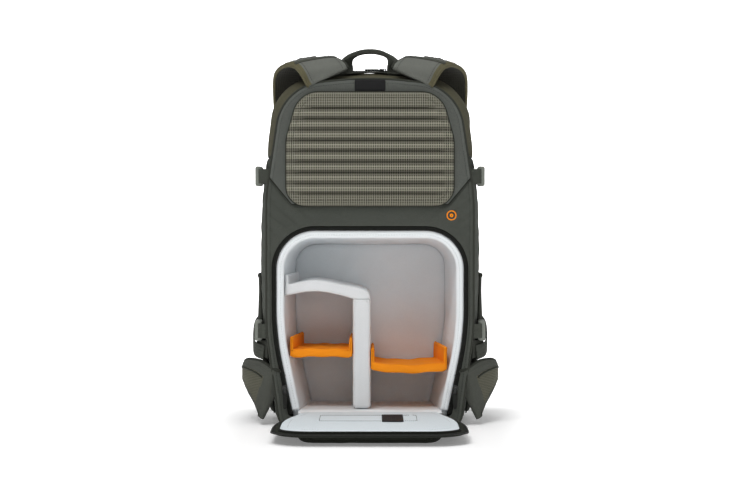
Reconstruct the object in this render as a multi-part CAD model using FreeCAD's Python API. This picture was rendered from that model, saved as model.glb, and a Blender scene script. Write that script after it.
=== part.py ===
"""A camera backpack standing on its base, with the harness side towards -Y and its rear access flap folded open.

Units are millimetres. The origin is the centre of the base on the floor, +Z is up, -Y is the side that the
wearer's back touches, and +X is to the right of someone who faces that side.
"""

import FreeCAD
import Part

import math
import os

V = FreeCAD.Vector

# ---------------------------------------------------------------- driving dimensions
DEPTH = 170.0
YB = -DEPTH / 2  # outer face of the back panel
YF = DEPTH / 2  # outer face of the front panel
WALL = 4.0  # quilted fabric wall
BACK_T = 5.0  # back panel

BASE_HALF, HIP_HALF, HIP_Z, WAIST_Z = 117.0, 134.0, 125.0, 300.0
SHOULDER_HALF, SHOULDER_Z, CROWN_Z = 113.0, 441.0, 453.0
SIDE_BULGE = 5.5
TOP_BULGE = 9.0
SHOULDER_BULGE = 2.2  # the top corners swell this many times as far as the sides
GUSSET_SPLIT_Z = 350.0

SILL_Z = 12.0  # lower edge of the rear opening
SILL_HALF = 106.0
OPEN_HALF = 128.0
OPEN_KNEE_Z = 118.0
OPEN_TOP_Z = 260.0
OPEN_CORNER_R = 56.0

RIM_OUT, RIM_IN = 4.2, 15.0  # lining rim, measured inwards from the cut edge
TAPE_W = 5.9
TAPE_T = 1.2
COMP_FRONT_Y = YB + 10
COMP_REAR_Y = YB + 135
COMP_REAR_INSET = 27.0
COMP_FOAM = 10.0
FLOOR_Z = 20.0

PAD_T = 15.0
PAD_Z0, PAD_Z1 = 286.0, 434.0

HINGE_Y, HINGE_Z = YB - 2, 10.0
FLAP_INSET = 12.5
FLAP_BOTTOM = 14.0
FLAP_OUT = 3.0  # flap panel stands this far out of the back panel's plane
FLAP_IN = 1.7
LINING_IN = 7.5
LUMBAR_T = 9.0

POCKET_D = 28.0

WEB_T = 1.6
WEB_W = 19.0
BUCKLE_W = 26.0
BUCKLE_L = 24.0
BUCKLE_T = 9.0
CLEAR = 0.4
SIDES = (("left", -1), ("right", 1))

os.makedirs("parts", exist_ok=True)


# ---------------------------------------------------------------- helpers
def save(name, *shapes):
    solids = [s for shape in shapes for s in shape.Solids]
    shape = solids[0] if len(solids) == 1 else Part.makeCompound(solids)
    shape.exportStep(f"parts/{name}.step")
    return shape


def mirrored(shape):
    return shape.mirror(V(0, 0, 0), V(1, 0, 0))


def on_side(shape, sign):
    """The shape as drawn on the -X side, or its mirror on the +X side."""
    return shape if sign < 0 else mirrored(shape)


def box(x0, x1, y0, y1, z0, z1):
    return Part.makeBox(x1 - x0, y1 - y0, z1 - z0, V(x0, y0, z0))


def rounded_wire(corners, radii):
    """A closed wire through 3-D corner points, each rounded with a tangent arc."""
    edges, starts, ends, mids = [], [], [], []
    n = len(corners)
    for i, (p, r) in enumerate(zip(corners, radii)):
        a = (corners[i - 1] - p).normalize()
        b = (corners[(i + 1) % n] - p).normalize()
        half = math.acos(max(-1.0, min(1.0, a.dot(b)))) / 2
        reach = r / math.tan(half)
        centre = p + (a + b).normalize() * (r / math.sin(half))
        starts.append(p + a * reach)
        ends.append(p + b * reach)
        mids.append(centre + (p - centre).normalize() * r)
    for i in range(n):
        edges.append(Part.Arc(starts[i], mids[i], ends[i]).toShape())
        edges.append(Part.LineSegment(ends[i], starts[(i + 1) % n]).toShape())
    return Part.Wire(edges)


def xz_wire(points, radii, y):
    return rounded_wire([V(x, y, z) for x, z in points], radii)


def plate(points, radii, y0, y1):
    return Part.Face(xz_wire(points, radii, y0)).extrude(V(0, y1 - y0, 0))


def loft(wires):
    return Part.makeLoft(wires, True, True)


def body_points(side=0.0, top=0.0, bottom=0.0):
    """Corners of the bag's outline, anticlockwise from the lower left, pushed out by side, top and bottom."""
    right = [
        (BASE_HALF + side, -bottom),
        (HIP_HALF + side, HIP_Z),
        (HIP_HALF + side, WAIST_Z),
        (SHOULDER_HALF + side * SHOULDER_BULGE, SHOULDER_Z + top),
    ]
    left = [(-x, z) for x, z in reversed(right)]
    return right + [(0.0, CROWN_Z + top)] + left


BODY_RADII = [14.0, 300.0, 250.0, 64.0, 450.0, 64.0, 250.0, 300.0, 14.0]


def seam_half(z):
    """Half the width of the bag's outline at height z, below its top corners."""
    if z < HIP_Z:
        return BASE_HALF + (HIP_HALF - BASE_HALF) * z / HIP_Z
    if z < WAIST_Z:
        return HIP_HALF
    return HIP_HALF + (SHOULDER_HALF - HIP_HALF) * (z - WAIST_Z) / (SHOULDER_Z - WAIST_Z)


def body_sections(grow=0.0, margin=0.0):
    """Outlines of the bag's shell from the back panel to the front panel, grown outwards by grow."""
    stations = [
        (YB + BACK_T - margin, 0.0, 0.0),
        (YB + 50, SIDE_BULGE, TOP_BULGE),
        (YB + 115, SIDE_BULGE, TOP_BULGE - 1),
        (YF - WALL + margin, 0.0, -4.0),
    ]
    return [
        xz_wire(body_points(side + grow, top + grow, grow), BODY_RADII, y)
        for y, side, top in stations
    ]


def arch_points(inset, bottom):
    """Corners of the rear opening, moved inwards by inset, with its lower edge at height bottom."""
    slope = (OPEN_HALF - SILL_HALF) / (OPEN_KNEE_Z - SILL_Z)
    slant = math.hypot(1.0, slope)

    def taper(z):
        return SILL_HALF + slope * (z - SILL_Z) - slant * inset

    knee = OPEN_KNEE_Z + inset * (slant - 1) / slope
    x, top = OPEN_HALF - inset, OPEN_TOP_Z - inset
    right = [(taper(bottom), bottom), (x, knee), (x, top)]
    return right + [(-a, b) for a, b in reversed(right)]


def arch_radii(inset, foot=4.0):
    r = OPEN_CORNER_R - inset
    return [foot, 350.0, r, r, 350.0, foot]


def arch_plate(inset, bottom, y0, y1, foot=4.0):
    return plate(arch_points(inset, bottom), arch_radii(inset, foot), y0, y1)


def arch_band(outer, inner, bottom, y0, y1):
    """A band that follows the opening up one side, over the top and down the other, open at the bottom."""
    ring = arch_plate(outer, bottom, y0, y1)
    return ring.cut(arch_plate(inner, bottom - 10, y0 - 1, y1 + 1))


def softened(shape, radius, test):
    """The shape with the edges that pass the test rounded."""
    edges = [e for e in shape.Edges if test(e)]
    return shape.makeFillet(radius, edges)


def band_loft(stations):
    """A flat band through stations of (centre, width direction, thickness direction, width, thickness)."""
    wires = []
    for c, w, n, width, thick in stations:
        w = V(*w).normalize() * (width / 2)
        n = V(*n)
        n = (n - w * (n.dot(w) / w.dot(w))).normalize() * (thick / 2)
        c = V(*c)
        wires.append(Part.makePolygon([c + w + n, c - w + n, c - w - n, c + w - n, c + w + n]))
    return loft(wires)


def webbing(path, up, width, thick=WEB_T):
    """Webbing along a polyline. Its width lies along up, and it is mitred at each point."""
    points = [V(*p) for p in path]
    stations = []
    for i, p in enumerate(points):
        before = (p - points[i - 1]).normalize() if i else None
        after = (points[i + 1] - p).normalize() if i < len(points) - 1 else None
        t = (before + after) if before and after else (before or after)
        n = t.cross(V(*up))
        stations.append((tuple(p), tuple(up), tuple(n), width, thick))
    return band_loft(stations)


# ---------------------------------------------------------------- bag body
def opening_cut():
    return arch_plate(0.0, SILL_Z, YB - 20, YB + 20)


def yoke_prism():
    """The region above the diagonal seams that run from the back pad's lower corners to the sides."""
    points = [(-160, 326), (-98, 288), (98, 288), (160, 326), (160, 480), (-160, 480)]
    wire = Part.makePolygon([V(x, YB - 5, z) for x, z in points + points[:1]])
    return Part.Face(wire).extrude(V(0, 30, 0))


def make_back_panels():
    panel = plate(body_points(), BODY_RADII, YB, YB + BACK_T).cut(opening_cut())
    save("back_panel_upper", panel.common(yoke_prism()))
    save("back_panel_lower", panel.cut(yoke_prism()))


def back_pad_points():
    return [(109, PAD_Z0), (109, 372), (92, PAD_Z1), (-92, PAD_Z1), (-109, 372), (-109, PAD_Z0)]


def make_back_pad():
    pad = plate(back_pad_points(), [26, 60, 34, 34, 60, 26], YB - PAD_T, YB)
    pad = softened(pad, 7.0, lambda e: e.BoundBox.YMax < YB - PAD_T + 0.01)
    save("back_pad", pad)
    sheet = plate([(104, 292), (104, 368), (88, 428), (-88, 428), (-104, 368), (-104, 292)],
                  [22, 56, 30, 30, 56, 22], YB + BACK_T, YB + BACK_T + 1.6)
    save("frame_sheet", sheet)


def shell_solid():
    outer = loft(body_sections())
    inner = loft(body_sections(grow=-WALL, margin=1.0))
    return outer.cut(inner)


def make_shell():
    shell = shell_solid().cut(box(-200, 200, -200, 200, -1, WALL))
    save("top_gusset", shell.common(box(-200, 200, -200, 200, GUSSET_SPLIT_Z, 500)))
    lower = shell.common(box(-200, 200, -200, 200, WALL, GUSSET_SPLIT_Z))
    save("side_panel_left", lower.common(box(-200, 0, -200, 200, 0, 500)))
    save("side_panel_right", lower.common(box(0, 200, -200, 200, 0, 500)))
    rear, front = YB + BACK_T, YF - WALL
    corners = [V(x, y, 0) for x, y in ((112, rear), (112, front), (-112, front), (-112, rear))]
    base = Part.Face(rounded_wire(corners, [6, 16, 16, 6])).extrude(V(0, 0, WALL))
    save("base_panel", base)


def make_front():
    save("front_panel", plate(body_points(top=-4), BODY_RADII, YF - WALL, YF))
    sections = []
    for y, inset in ((YF, 8.0), (YF + POCKET_D - 8, 12.0), (YF + POCKET_D, 22.0)):
        points = [(110 - inset, 20 + inset), (122 - inset, 130), (120 - inset, 345 - inset)]
        points += [(-x, z) for x, z in reversed(points)]
        sections.append(xz_wire(points, [26, 200, 34, 34, 200, 26], y))
    save("front_pocket", loft(sections))


def make_side_pockets():
    """Shallow elastic pockets, open at the top hem."""
    rear, front = YB + 68, YF - 16
    top, bottom = 196.0, 10.0
    gap, cloth = 6.2, 1.3

    def slab(out, y0, y1, z0, z1):
        """The bag's lower side grown outwards by out, between two depths and heights."""
        points = []
        for z in (z0, HIP_Z, z1):
            points.append((-(seam_half(z) + SIDE_BULGE + out), z))
        points += [(-100.0, z1), (-100.0, z0)]
        wire = Part.makePolygon([V(x, y0, z) for x, z in points + points[:1]])
        return Part.Face(wire).extrude(V(0, y1 - y0, 0))

    outer = slab(gap + cloth, rear, front, bottom, top)
    hollow = slab(gap, rear + 5, front - 5, bottom + 5, top + 5)
    pocket = outer.cut(hollow).cut(slab(CLEAR, rear - 1, front + 1, bottom - 1, top + 1))
    for name, sign in SIDES:
        save(f"side_pocket_{name}", on_side(pocket, sign))


# ---------------------------------------------------------------- camera compartment
def arch_loft(front_inset, rear_inset, bottom, y0, y1):
    wires = [
        xz_wire(arch_points(inset, bottom), arch_radii(inset, 3.0), y)
        for inset, y in ((front_inset, y0), (rear_inset, y1))
    ]
    return loft(wires)


def wall_half(y, z):
    """Half the width of the compartment's inner faces at depth y and height z."""
    share = (y - COMP_FRONT_Y) / (COMP_REAR_Y - COMP_FRONT_Y)
    inset = RIM_IN + (COMP_REAR_INSET - RIM_IN) * max(share, 0.0)
    slope = (OPEN_HALF - SILL_HALF) / (OPEN_KNEE_Z - SILL_Z)
    taper = SILL_HALF + slope * (z - SILL_Z) - math.hypot(1.0, slope) * inset
    return min(taper, OPEN_HALF - inset)


def make_compartment():
    outer = arch_loft(RIM_IN - COMP_FOAM, COMP_REAR_INSET - COMP_FOAM, 4.5, COMP_FRONT_Y, COMP_REAR_Y)
    cavity = arch_loft(RIM_IN, COMP_REAR_INSET, FLOOR_Z, COMP_FRONT_Y, COMP_REAR_Y)
    foam = outer.cut(cavity)
    ceiling_z = OPEN_TOP_Z - OPEN_CORNER_R
    save("compartment_floor", foam.common(box(-200, 200, -200, 200, 0, FLOOR_Z)))
    save("compartment_ceiling", foam.common(box(-200, 200, -200, 200, ceiling_z, 400)))
    for name, sign in SIDES:
        side = foam.common(box(-200, 0, -200, 200, FLOOR_Z, ceiling_z))
        save(f"compartment_wall_{name}", on_side(side, sign))
    back = arch_plate(COMP_REAR_INSET - COMP_FOAM, 4.5, COMP_REAR_Y, COMP_REAR_Y + 6)
    save("compartment_back", back)
    save("lining_rim", arch_band(RIM_OUT, RIM_IN, FLOOR_Z, YB + 2, COMP_FRONT_Y))
    save("body_zip_tape", arch_band(0.0, TAPE_W, SILL_Z + 2, YB + 0.5, YB + 0.5 + TAPE_T))


def divider_bar(name, x_front, x_rear, z_mid, thick, sag, tabs):
    """A padded divider: a bar between two upright hook-and-loop tabs. x_front and x_rear are (low, high)."""
    y0, y1 = YB + 14, YB + 128
    wires = []
    for y, (a, b) in ((y0, x_front), (y1, x_rear)):
        m, h = (a + b) / 2, thick / 2
        tab_l, tab_r = tabs
        points = [
            V(a, y, z_mid - h), V(m, y, z_mid - h - sag), V(b, y, z_mid - h),
            V(b, y, z_mid + h + tab_r), V(b - 4, y, z_mid + h + tab_r), V(b - 4, y, z_mid + h),
            V(m, y, z_mid + h - sag), V(a + 4, y, z_mid + h),
            V(a + 4, y, z_mid + h + tab_l), V(a, y, z_mid + h + tab_l),
        ]
        wires.append(Part.makePolygon(points + points[:1]))
    save(name, loft(wires))


TALL_L, TALL_R = -22.5, 0.5


def make_dividers():
    y0, y1 = YB + 14, YB + 128
    gap = 0.6
    arch_mid = 175.0
    tall = box(TALL_L, TALL_R, y0, y1, FLOOR_Z + gap, 164.0)
    tall = softened(tall, 5.0, lambda e: e.BoundBox.XLength < 0.01 and e.BoundBox.ZLength > 50)
    save("divider_tall", tall)
    left_f, left_r = -wall_half(y0, arch_mid) + gap, -wall_half(y1, arch_mid) + gap
    wires = []
    for y, left in ((y0, left_f), (y1, left_r)):
        points = [V(left, y, 170), V(-62, y, 174), V(TALL_L, y, 164.4), V(TALL_R, y, 164.4), V(TALL_R, y, 170),
                  V(TALL_R - 8, y, 178), V(-62, y, 190), V(left + 5, y, 186), V(left + 5, y, 196),
                  V(left, y, 196)]
        wires.append(Part.makePolygon(points + points[:1]))
    save("divider_arched", loft(wires))
    z = 94.0
    front, rear = (-wall_half(y, z - 8) + gap for y in (y0, y1))
    divider_bar("divider_orange_left", (front, TALL_L - gap), (rear, TALL_L - gap), z, 11, 0, (17, 15))
    z = 76.0
    front, rear = (wall_half(y, z - 8) - gap for y in (y0, y1))
    divider_bar("divider_orange_right", (TALL_R + gap, front), (TALL_R + gap, rear), z, 11, 3, (19, 21))


# ---------------------------------------------------------------- rear flap
def laid_open(shape):
    """Turns a shape from the closed flap's place to the open one, where the flap lies on the floor."""
    out = shape.copy()
    out.rotate(V(0, HINGE_Y, HINGE_Z), V(1, 0, 0), 90)
    return out


def make_flap():
    panel = arch_plate(FLAP_INSET, FLAP_BOTTOM, YB - FLAP_OUT, YB + FLAP_IN)
    tape = arch_band(TAPE_W + 0.5, FLAP_INSET, FLAP_BOTTOM + 2, YB + 0.5, YB + 0.5 + TAPE_T)
    lining = arch_plate(RIM_IN + 2.5, FLAP_BOTTOM + 2, YB + FLAP_IN, YB + LINING_IN)
    lining = softened(lining, 2.5, lambda e: e.BoundBox.YMin > YB + LINING_IN - 0.01)
    y_out = YB - FLAP_OUT - LUMBAR_T
    lumbar = plate([(72, 30), (84, 118), (84, 222), (-84, 222), (-84, 118), (-72, 30)],
                   [24, 300, 30, 30, 300, 24], y_out, YB - FLAP_OUT)
    lumbar = softened(lumbar, 5.0, lambda e: e.BoundBox.YMax < y_out + 0.01)
    pocket = plate([(62, 70), (62, 148), (-66, 148), (-66, 70)], [3, 3, 3, 3], YB + LINING_IN, YB + LINING_IN + 0.8)
    parts = {"flap_panel": panel, "flap_zip_tape": tape, "flap_lining": lining,
             "lumbar_pad": lumbar, "flap_pocket": pocket}
    for name, shape in parts.items():
        save(name, laid_open(shape))


# ---------------------------------------------------------------- zip sliders and pulls
SLIDER_L, SLIDER_W, SLIDER_T = 13.0, 7.0, 2.2
BRIDGE_H = 3.2
PULL_L, PULL_W, PULL_T = 24.0, 6.0, 1.6


def zip_slider():
    """A slider lying in the XZ plane: +Z along the zip, -Y outwards, its plate's back at y = 0."""
    w, l = SLIDER_W / 2, SLIDER_L / 2
    body = plate([(w * 0.62, -l), (w, l), (-w, l), (-w * 0.62, -l)], [1.2, 2.6, 2.6, 1.2], -SLIDER_T, 0)
    body = softened(body, 0.7, lambda e: e.BoundBox.YMax < -SLIDER_T + 0.01)
    bridge = box(-1.1, 1.1, -SLIDER_T - BRIDGE_H, -SLIDER_T, -4.2, 4.2)
    bridge = softened(bridge, 1.0, lambda e: e.BoundBox.YMax < -SLIDER_T - BRIDGE_H + 0.01
                      and e.BoundBox.ZLength < 0.01)
    window = box(-3, 3, -SLIDER_T - BRIDGE_H + 1.0, -SLIDER_T - 0.0, -2.6, 2.6)
    return body.fuse(bridge.cut(window))


def zip_pull():
    """A pull tab hanging along -Z from the slider's bridge: a ring through the bridge and a moulded grip."""
    y1 = -SLIDER_T - 0.3
    y0 = y1 - PULL_T
    ring = plate([(3.0, -7.0), (3.0, 1.8), (-3.0, 1.8), (-3.0, -7.0)], [1, 1.6, 1.6, 1], y0, y1)
    ring = ring.cut(box(-2.15, 2.15, y0 - 1, y1 + 1, -5.0, 0.8))
    grip = plate([(2.1, -PULL_L), (PULL_W / 2, -10), (PULL_W / 2, -6), (-PULL_W / 2, -6),
                  (-PULL_W / 2, -10), (-2.1, -PULL_L)], [2.0, 1, 0.8, 0.8, 1, 2.0], y0 - 0.6, y1)
    return ring.fuse(grip)


def hanging_pull():
    """A pull for a zip that runs across: a ring round the bridge's bar and a grip hanging below it."""
    y = -SLIDER_T - BRIDGE_H + 0.5
    ring = Part.makeCylinder(2.4, 1.6, V(-0.8, y, 0), V(1, 0, 0))
    ring = ring.cut(Part.makeCylinder(1.6, 4, V(-2, y, 0), V(1, 0, 0)))
    grip = plate([(2.1, -PULL_L), (PULL_W / 2, -8), (PULL_W / 2, -1.9), (-PULL_W / 2, -1.9),
                  (-PULL_W / 2, -8), (-2.1, -PULL_L)], [2.0, 1, 0.8, 0.8, 1, 2.0], y - 0.8, y + 0.8)
    return ring.fuse(grip)


def placed(shape, where, tilt=0.0, pitch=0.0):
    """The shape turned by pitch about X, then by tilt about Y, then moved to where."""
    out = shape.copy()
    out.rotate(V(0, 0, 0), V(1, 0, 0), pitch)
    out.rotate(V(0, 0, 0), V(0, 1, 0), tilt)
    out.translate(V(*where))
    return out


REAR_SLIDER_Z = 46.0
REAR_SLIDER_INSET = 2.4  # keeps the slider clear of the flap's tape when the flap closes
TOP_ZIP_Y = YB + 72
TOP_SLIDER_X = 17.0
FRONT_ZIP_Z = 262.0


def make_zips():
    slope = (OPEN_HALF - SILL_HALF) / (OPEN_KNEE_Z - SILL_Z)
    x = SILL_HALF + slope * (REAR_SLIDER_Z - SILL_Z) - math.hypot(1.0, slope) * REAR_SLIDER_INSET
    for name, sign in SIDES:
        where = (-x, YB - CLEAR, REAR_SLIDER_Z)
        slider = placed(zip_slider(), where, tilt=-math.degrees(math.atan(slope)))
        save(f"rear_zip_slider_{name}", on_side(slider, sign))
        save(f"rear_zip_pull_{name}", on_side(placed(zip_pull(), where), sign))
    skin = loft(body_sections(grow=TAPE_T)).cut(loft(body_sections()))
    save("top_zip_tape", skin.common(box(-43, 43, TOP_ZIP_Y - 9, TOP_ZIP_Y + 9, 400, 500)))
    top_z = CROWN_Z + TOP_BULGE + TAPE_T + CLEAR
    flat = zip_slider()
    flat.rotate(V(0, 0, 0), V(0, 1, 0), 90)
    pull = zip_pull()
    pull.rotate(V(0, 0, 0), V(0, 1, 0), 90)
    where = (TOP_SLIDER_X, TOP_ZIP_Y, top_z)
    save("top_zip_slider", placed(flat, where, pitch=-90))
    save("top_zip_pull", placed(pull, where, pitch=-90))
    y = YF + POCKET_D
    save("front_zip_tape", box(-62, 62, y, y + TAPE_T, FRONT_ZIP_Z - 8, FRONT_ZIP_Z + 8))
    out = zip_slider()
    out.rotate(V(0, 0, 0), V(0, 1, 0), 90)
    out.rotate(V(0, 0, 0), V(0, 0, 1), 180)
    hang = hanging_pull()
    hang.rotate(V(0, 0, 0), V(0, 0, 1), 180)
    where = (40, y + TAPE_T + CLEAR, FRONT_ZIP_Z)
    save("front_zip_slider", placed(out, where))
    save("front_zip_pull", placed(hang, where))


# ---------------------------------------------------------------- buckles
def buckle_socket():
    """The socket half: +Y towards the plug, Z across the webbing, X through its thickness, centred on the origin."""
    h, t = BUCKLE_W / 2, BUCKLE_T / 2
    body = box(-t, t, 0, BUCKLE_L, -h, h)
    body = softened(body, 2.6, lambda e: e.BoundBox.YLength > BUCKLE_L - 1)
    body = body.cut(box(-2.3, 2.3, 7.5, BUCKLE_L + 1, -10.8, 10.8))
    for sign in (-1, 1):
        low, high = sorted((sign * 9.0, sign * 14.0))
        body = body.cut(box(-2.3, 2.3, 10, 19, low, high))
        low, high = sorted((sign * 8.0, sign * 14.0))
        body = body.cut(Part.makeCylinder(5.2, 20, V(-10, 14.5, sign * 15.2), V(1, 0, 0)))
    body = body.cut(box(-t - 1, t + 1, 2.2, 4.8, -10.2, 10.2))
    return body


def buckle_plug():
    """The plug half, seated in the socket: two side prongs, a guide and a base that the webbing runs through."""
    start = BUCKLE_L + CLEAR
    base = box(-4.0, 4.6, start, start + 13, -BUCKLE_W / 2, BUCKLE_W / 2)
    base = softened(base, 2.4, lambda e: e.BoundBox.YLength > 12)
    base = base.cut(box(1.9, 3.9, start - 1, start + 14, -WEB_W / 2 - 0.8, WEB_W / 2 + 0.8))
    base = base.cut(box(-6, 2.2, start + 4.4, start + 8.4, -WEB_W / 2, WEB_W / 2))
    prong = box(-1.7, 1.7, start - 15, start + 0.5, 6.4, 10.2)
    prong = softened(prong, 1.3, lambda e: e.BoundBox.YMax < start - 14.9 and e.BoundBox.XLength > 3)
    guide = box(-1.7, 1.7, start - 12, start + 0.5, -2.6, 2.6)
    lower = prong.mirror(V(0, 0, 0), V(0, 0, 1))
    return base.fuse([prong, lower, guide])


COMPRESSION = (("upper", -145.5, 325.0), ("lower", -146.5, 123.0))  # name, centre x on the -X side, z
BUCKLE_Y = YB + 12
POCKET_END_Y = YF - 14


def make_compression_straps():
    sockets, straps = [], []
    for level, x, z in COMPRESSION:
        origin = V(x, BUCKLE_Y, z)
        socket = buckle_socket().translate(origin)
        plug = buckle_plug().mirror(V(0, 0, 0), V(1, 0, 0)).translate(origin)
        web_x = x - 2.9
        seam = -seam_half(z)
        strap = webbing([(web_x, BUCKLE_Y + BUCKLE_L + 3, z), (web_x, YB + 110, z), (web_x, POCKET_END_Y, z),
                         (seam - 3.4, YF - 4.5, z)], (0, 0, 1), WEB_W)
        anchor = webbing([(seam - 1.8, YB + 1.5, z), (x + 3.4, YB + 8.0, z), (x, YB + 11.0, z)],
                         (0, 0, 1), WEB_W)
        for name, sign in SIDES:
            sockets.append(on_side(socket, sign))
            straps += [on_side(strap, sign), on_side(anchor, sign)]
            save(f"buckle_plug_{level}_{name}", on_side(plug, sign))
    save("buckle_sockets", *sockets)
    save("compression_webbing", *straps)


# ---------------------------------------------------------------- harness
def strap_stations():
    """The left shoulder strap, from its seam on the back panel's top edge, over the bag and down its far side."""
    return [
        ((-54, YB + 4, 453), (1, 0.0, 0.06), (0, -1, 0.2), 58, 8),
        ((-61, YB + 11, 464), (1, 0.12, 0.12), (0, -0.75, 0.65), 60, 10),
        ((-69, YB + 28, 472.5), (1, 0.25, 0.16), (0, -0.3, 1), 61, 11),
        ((-80, YB + 60, 477), (1, 0.28, 0.16), (0, 0, 1), 62, 12),
        ((-92, YB + 110, 475), (1, 0.22, 0.14), (0, 0.12, 1), 63, 12),
        ((-99, YB + 150, 467), (1, 0.15, 0.12), (0, 0.4, 1), 64, 12),
        ((-101, YB + 178, 448), (1, 0.08, 0.08), (0, 0.9, 0.6), 64, 12),
        ((-101, YB + 193, 415), (1, 0, 0), (0, 1, 0.2), 62, 12),
        ((-99, YB + 204, 360), (1, 0, 0), (0, 1, 0.12), 60, 12),
        ((-95, YB + 210, 300), (1, 0, 0), (0, 1, 0.03), 56, 12),
        ((-91, YB + 211, 245), (1, 0, 0), (0, 1, 0), 50, 11),
        ((-88, YB + 211, 205), (1, 0, 0), (0, 1, 0), 36, 9),
    ]


ADJUSTER_X, ADJUSTER_Y, ADJUSTER_Z = -88.0, YB + 211, 190.0


def strap_adjuster():
    """A ladder-lock frame: three slots between its bars, standing in the XZ plane."""
    frame = plate([(15, -13), (13, 13), (-13, 13), (-15, -13)], [4, 3, 3, 4], -2.6, 2.6)
    for low, high in ((5, 9), (-2.5, 1.5), (-8.6, -5.6)):
        frame = frame.cut(box(-10, 10, -4, 4, low, high))
    return frame


def strap_webbing_stations():
    """The left strap's lower webbing: from the side seam round the bag, turning flat and up to the adjuster."""
    rows = [((-139, YB + 16, 94), (0.1, 0, 1), (0.9, 0.4, 0)), ((-152, YB + 42, 98), (0, 0, 1), (1, 0.2, 0)),
            ((-156.5, YB + 90, 108), (0, 0, 1), (1, 0, 0)), ((-156, YB + 150, 122), (0, 0.1, 1), (1, 0.15, 0)),
            ((-141, YB + 192, 133), (-0.2, 0.1, 1), (0.7, 0.7, 0)), ((-114, YB + 208, 142), (-0.6, 0, 0.8), (0, 1, 0)),
            ((-94, ADJUSTER_Y, 157), (-0.95, 0, 0.3), (0, 1, 0)), ((ADJUSTER_X, ADJUSTER_Y, 173), (-1, 0, 0), (0, 1, 0))]
    return [(centre, width_way, thick_way, WEB_W, WEB_T) for centre, width_way, thick_way in rows]


def make_harness():
    strap = band_loft(strap_stations())
    adjuster = placed(strap_adjuster(), (ADJUSTER_X, ADJUSTER_Y, ADJUSTER_Z))
    lower = band_loft(strap_webbing_stations())
    for name, sign in SIDES:
        save(f"shoulder_strap_{name}", on_side(strap, sign))
        save(f"strap_adjuster_{name}", on_side(adjuster, sign))
        save(f"strap_webbing_{name}", on_side(lower, sign))


HANDLE_Y = YB + 40
HANDLE_Z = 463.0


def make_handle():
    """A webbing grab loop whose feet stand just above the top of the bag."""
    outer = [(33, HANDLE_Z), (37, 479), (22, 490.5), (-22, 490.5), (-37, 479), (-33, HANDLE_Z)]
    inner = [(23, HANDLE_Z - 9), (23, 476), (17, 485.5), (-17, 485.5), (-23, 476), (-23, HANDLE_Z - 9)]
    loop = plate(outer, [0.5, 9, 14, 14, 9, 0.5], HANDLE_Y - 6, HANDLE_Y + 6)
    loop = loop.cut(plate(inner, [0.5, 6, 9, 9, 6, 0.5], HANDLE_Y - 20, HANDLE_Y + 20))
    loop = loop.cut(box(-60, 60, HANDLE_Y - 20, HANDLE_Y + 20, 400, HANDLE_Z + 7))
    save("grab_handle", loop)


WING_X, WING_Y = -131.0, YB + 4


def wing_stations():
    """The left hip-belt wing in plan from its hinge line: (x, y, heading x, heading y, low z, high z)."""
    rows = [(-2, 5, -0.45, 0.9, 8, 80, 7), (-14, 24, -0.55, 0.84, 26, 84, 11), (-30, 54, -0.35, 0.94, 44, 84, 12),
            (-37, 94, -0.02, 1, 50, 80, 12), (-33, 140, 0.1, 1, 54, 77, 8)]
    out = []
    for x, y, hx, hy, low, high, thick in rows:
        centre = (WING_X + x, WING_Y + y, (low + high) / 2)
        out.append((centre, (0, 0, 1), (hy, -hx, 0), high - low, thick))
    return out


BELT_FLOOR_Y = YF + 50  # where the belt's loose ends lie behind the bag
BELT_END_X = 58.0


def belt_tail_stations():
    """The left belt webbing: out of the wing's end, down to the floor behind the bag and along it."""
    rows = [((-164, WING_Y + 140.3, 65.5), (0, 0, 1), (1, 0, 0)), ((-163, YF + 4, 61), (0, 0.15, 1), (1, 0, 0)),
            ((-157, YF + 24, 45), (0.2, 0.5, 0.8), (0.9, 0.3, 0.2)), ((-146, YF + 39, 23), (0.35, 0.8, 0.5), (0.7, 0, 0.7)),
            ((-130, YF + 47, 8), (0.25, 0.95, 0.2), (0.3, 0, 1)), ((-108, BELT_FLOOR_Y, 3.2), (0, 1, 0), (0, 0, 1)),
            ((-BELT_END_X - 0.4, BELT_FLOOR_Y, 4.6), (0, 1, 0), (0, 0, 1))]
    return [(centre, width_way, thick_way, 24.0, 1.8) for centre, width_way, thick_way in rows]


def make_belt():
    wing = band_loft(wing_stations())
    tail = band_loft(belt_tail_stations())
    for name, sign in SIDES:
        save(f"belt_wing_{name}", on_side(wing, sign))
        save(f"belt_webbing_{name}", on_side(tail, sign))
    lie_flat = V(0, 0, 0), V(1, 1, 1), -120
    height = BUCKLE_T / 2 + 0.2
    socket, plug = buckle_socket(), buckle_plug()
    socket.rotate(*lie_flat)
    plug.rotate(*lie_flat)
    save("belt_buckle_socket", socket.translate(V(-BELT_END_X, BELT_FLOOR_Y, height)))
    plug_end = BUCKLE_L + CLEAR + 13
    save("belt_buckle_plug", plug.translate(V(BELT_END_X - plug_end, BELT_FLOOR_Y, height)))


def make_label():
    save("top_label", plate([(20, 435.5), (20, 450), (-20, 450), (-20, 435.5)], [0.8] * 4, YB - 0.8, YB))


make_back_panels()
make_back_pad()
make_shell()
make_front()
make_side_pockets()
make_compartment()
make_dividers()
make_flap()
make_zips()
make_compression_straps()
make_harness()
make_handle()
make_belt()
make_label()
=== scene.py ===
"""Looks of the camera backpack.

Sizes and places are in millimetres in the CAD frame, and make_mesh turns them to metres.
"""

import math

import bmesh
import bpy
import numpy as np
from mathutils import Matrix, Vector, geometry


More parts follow.
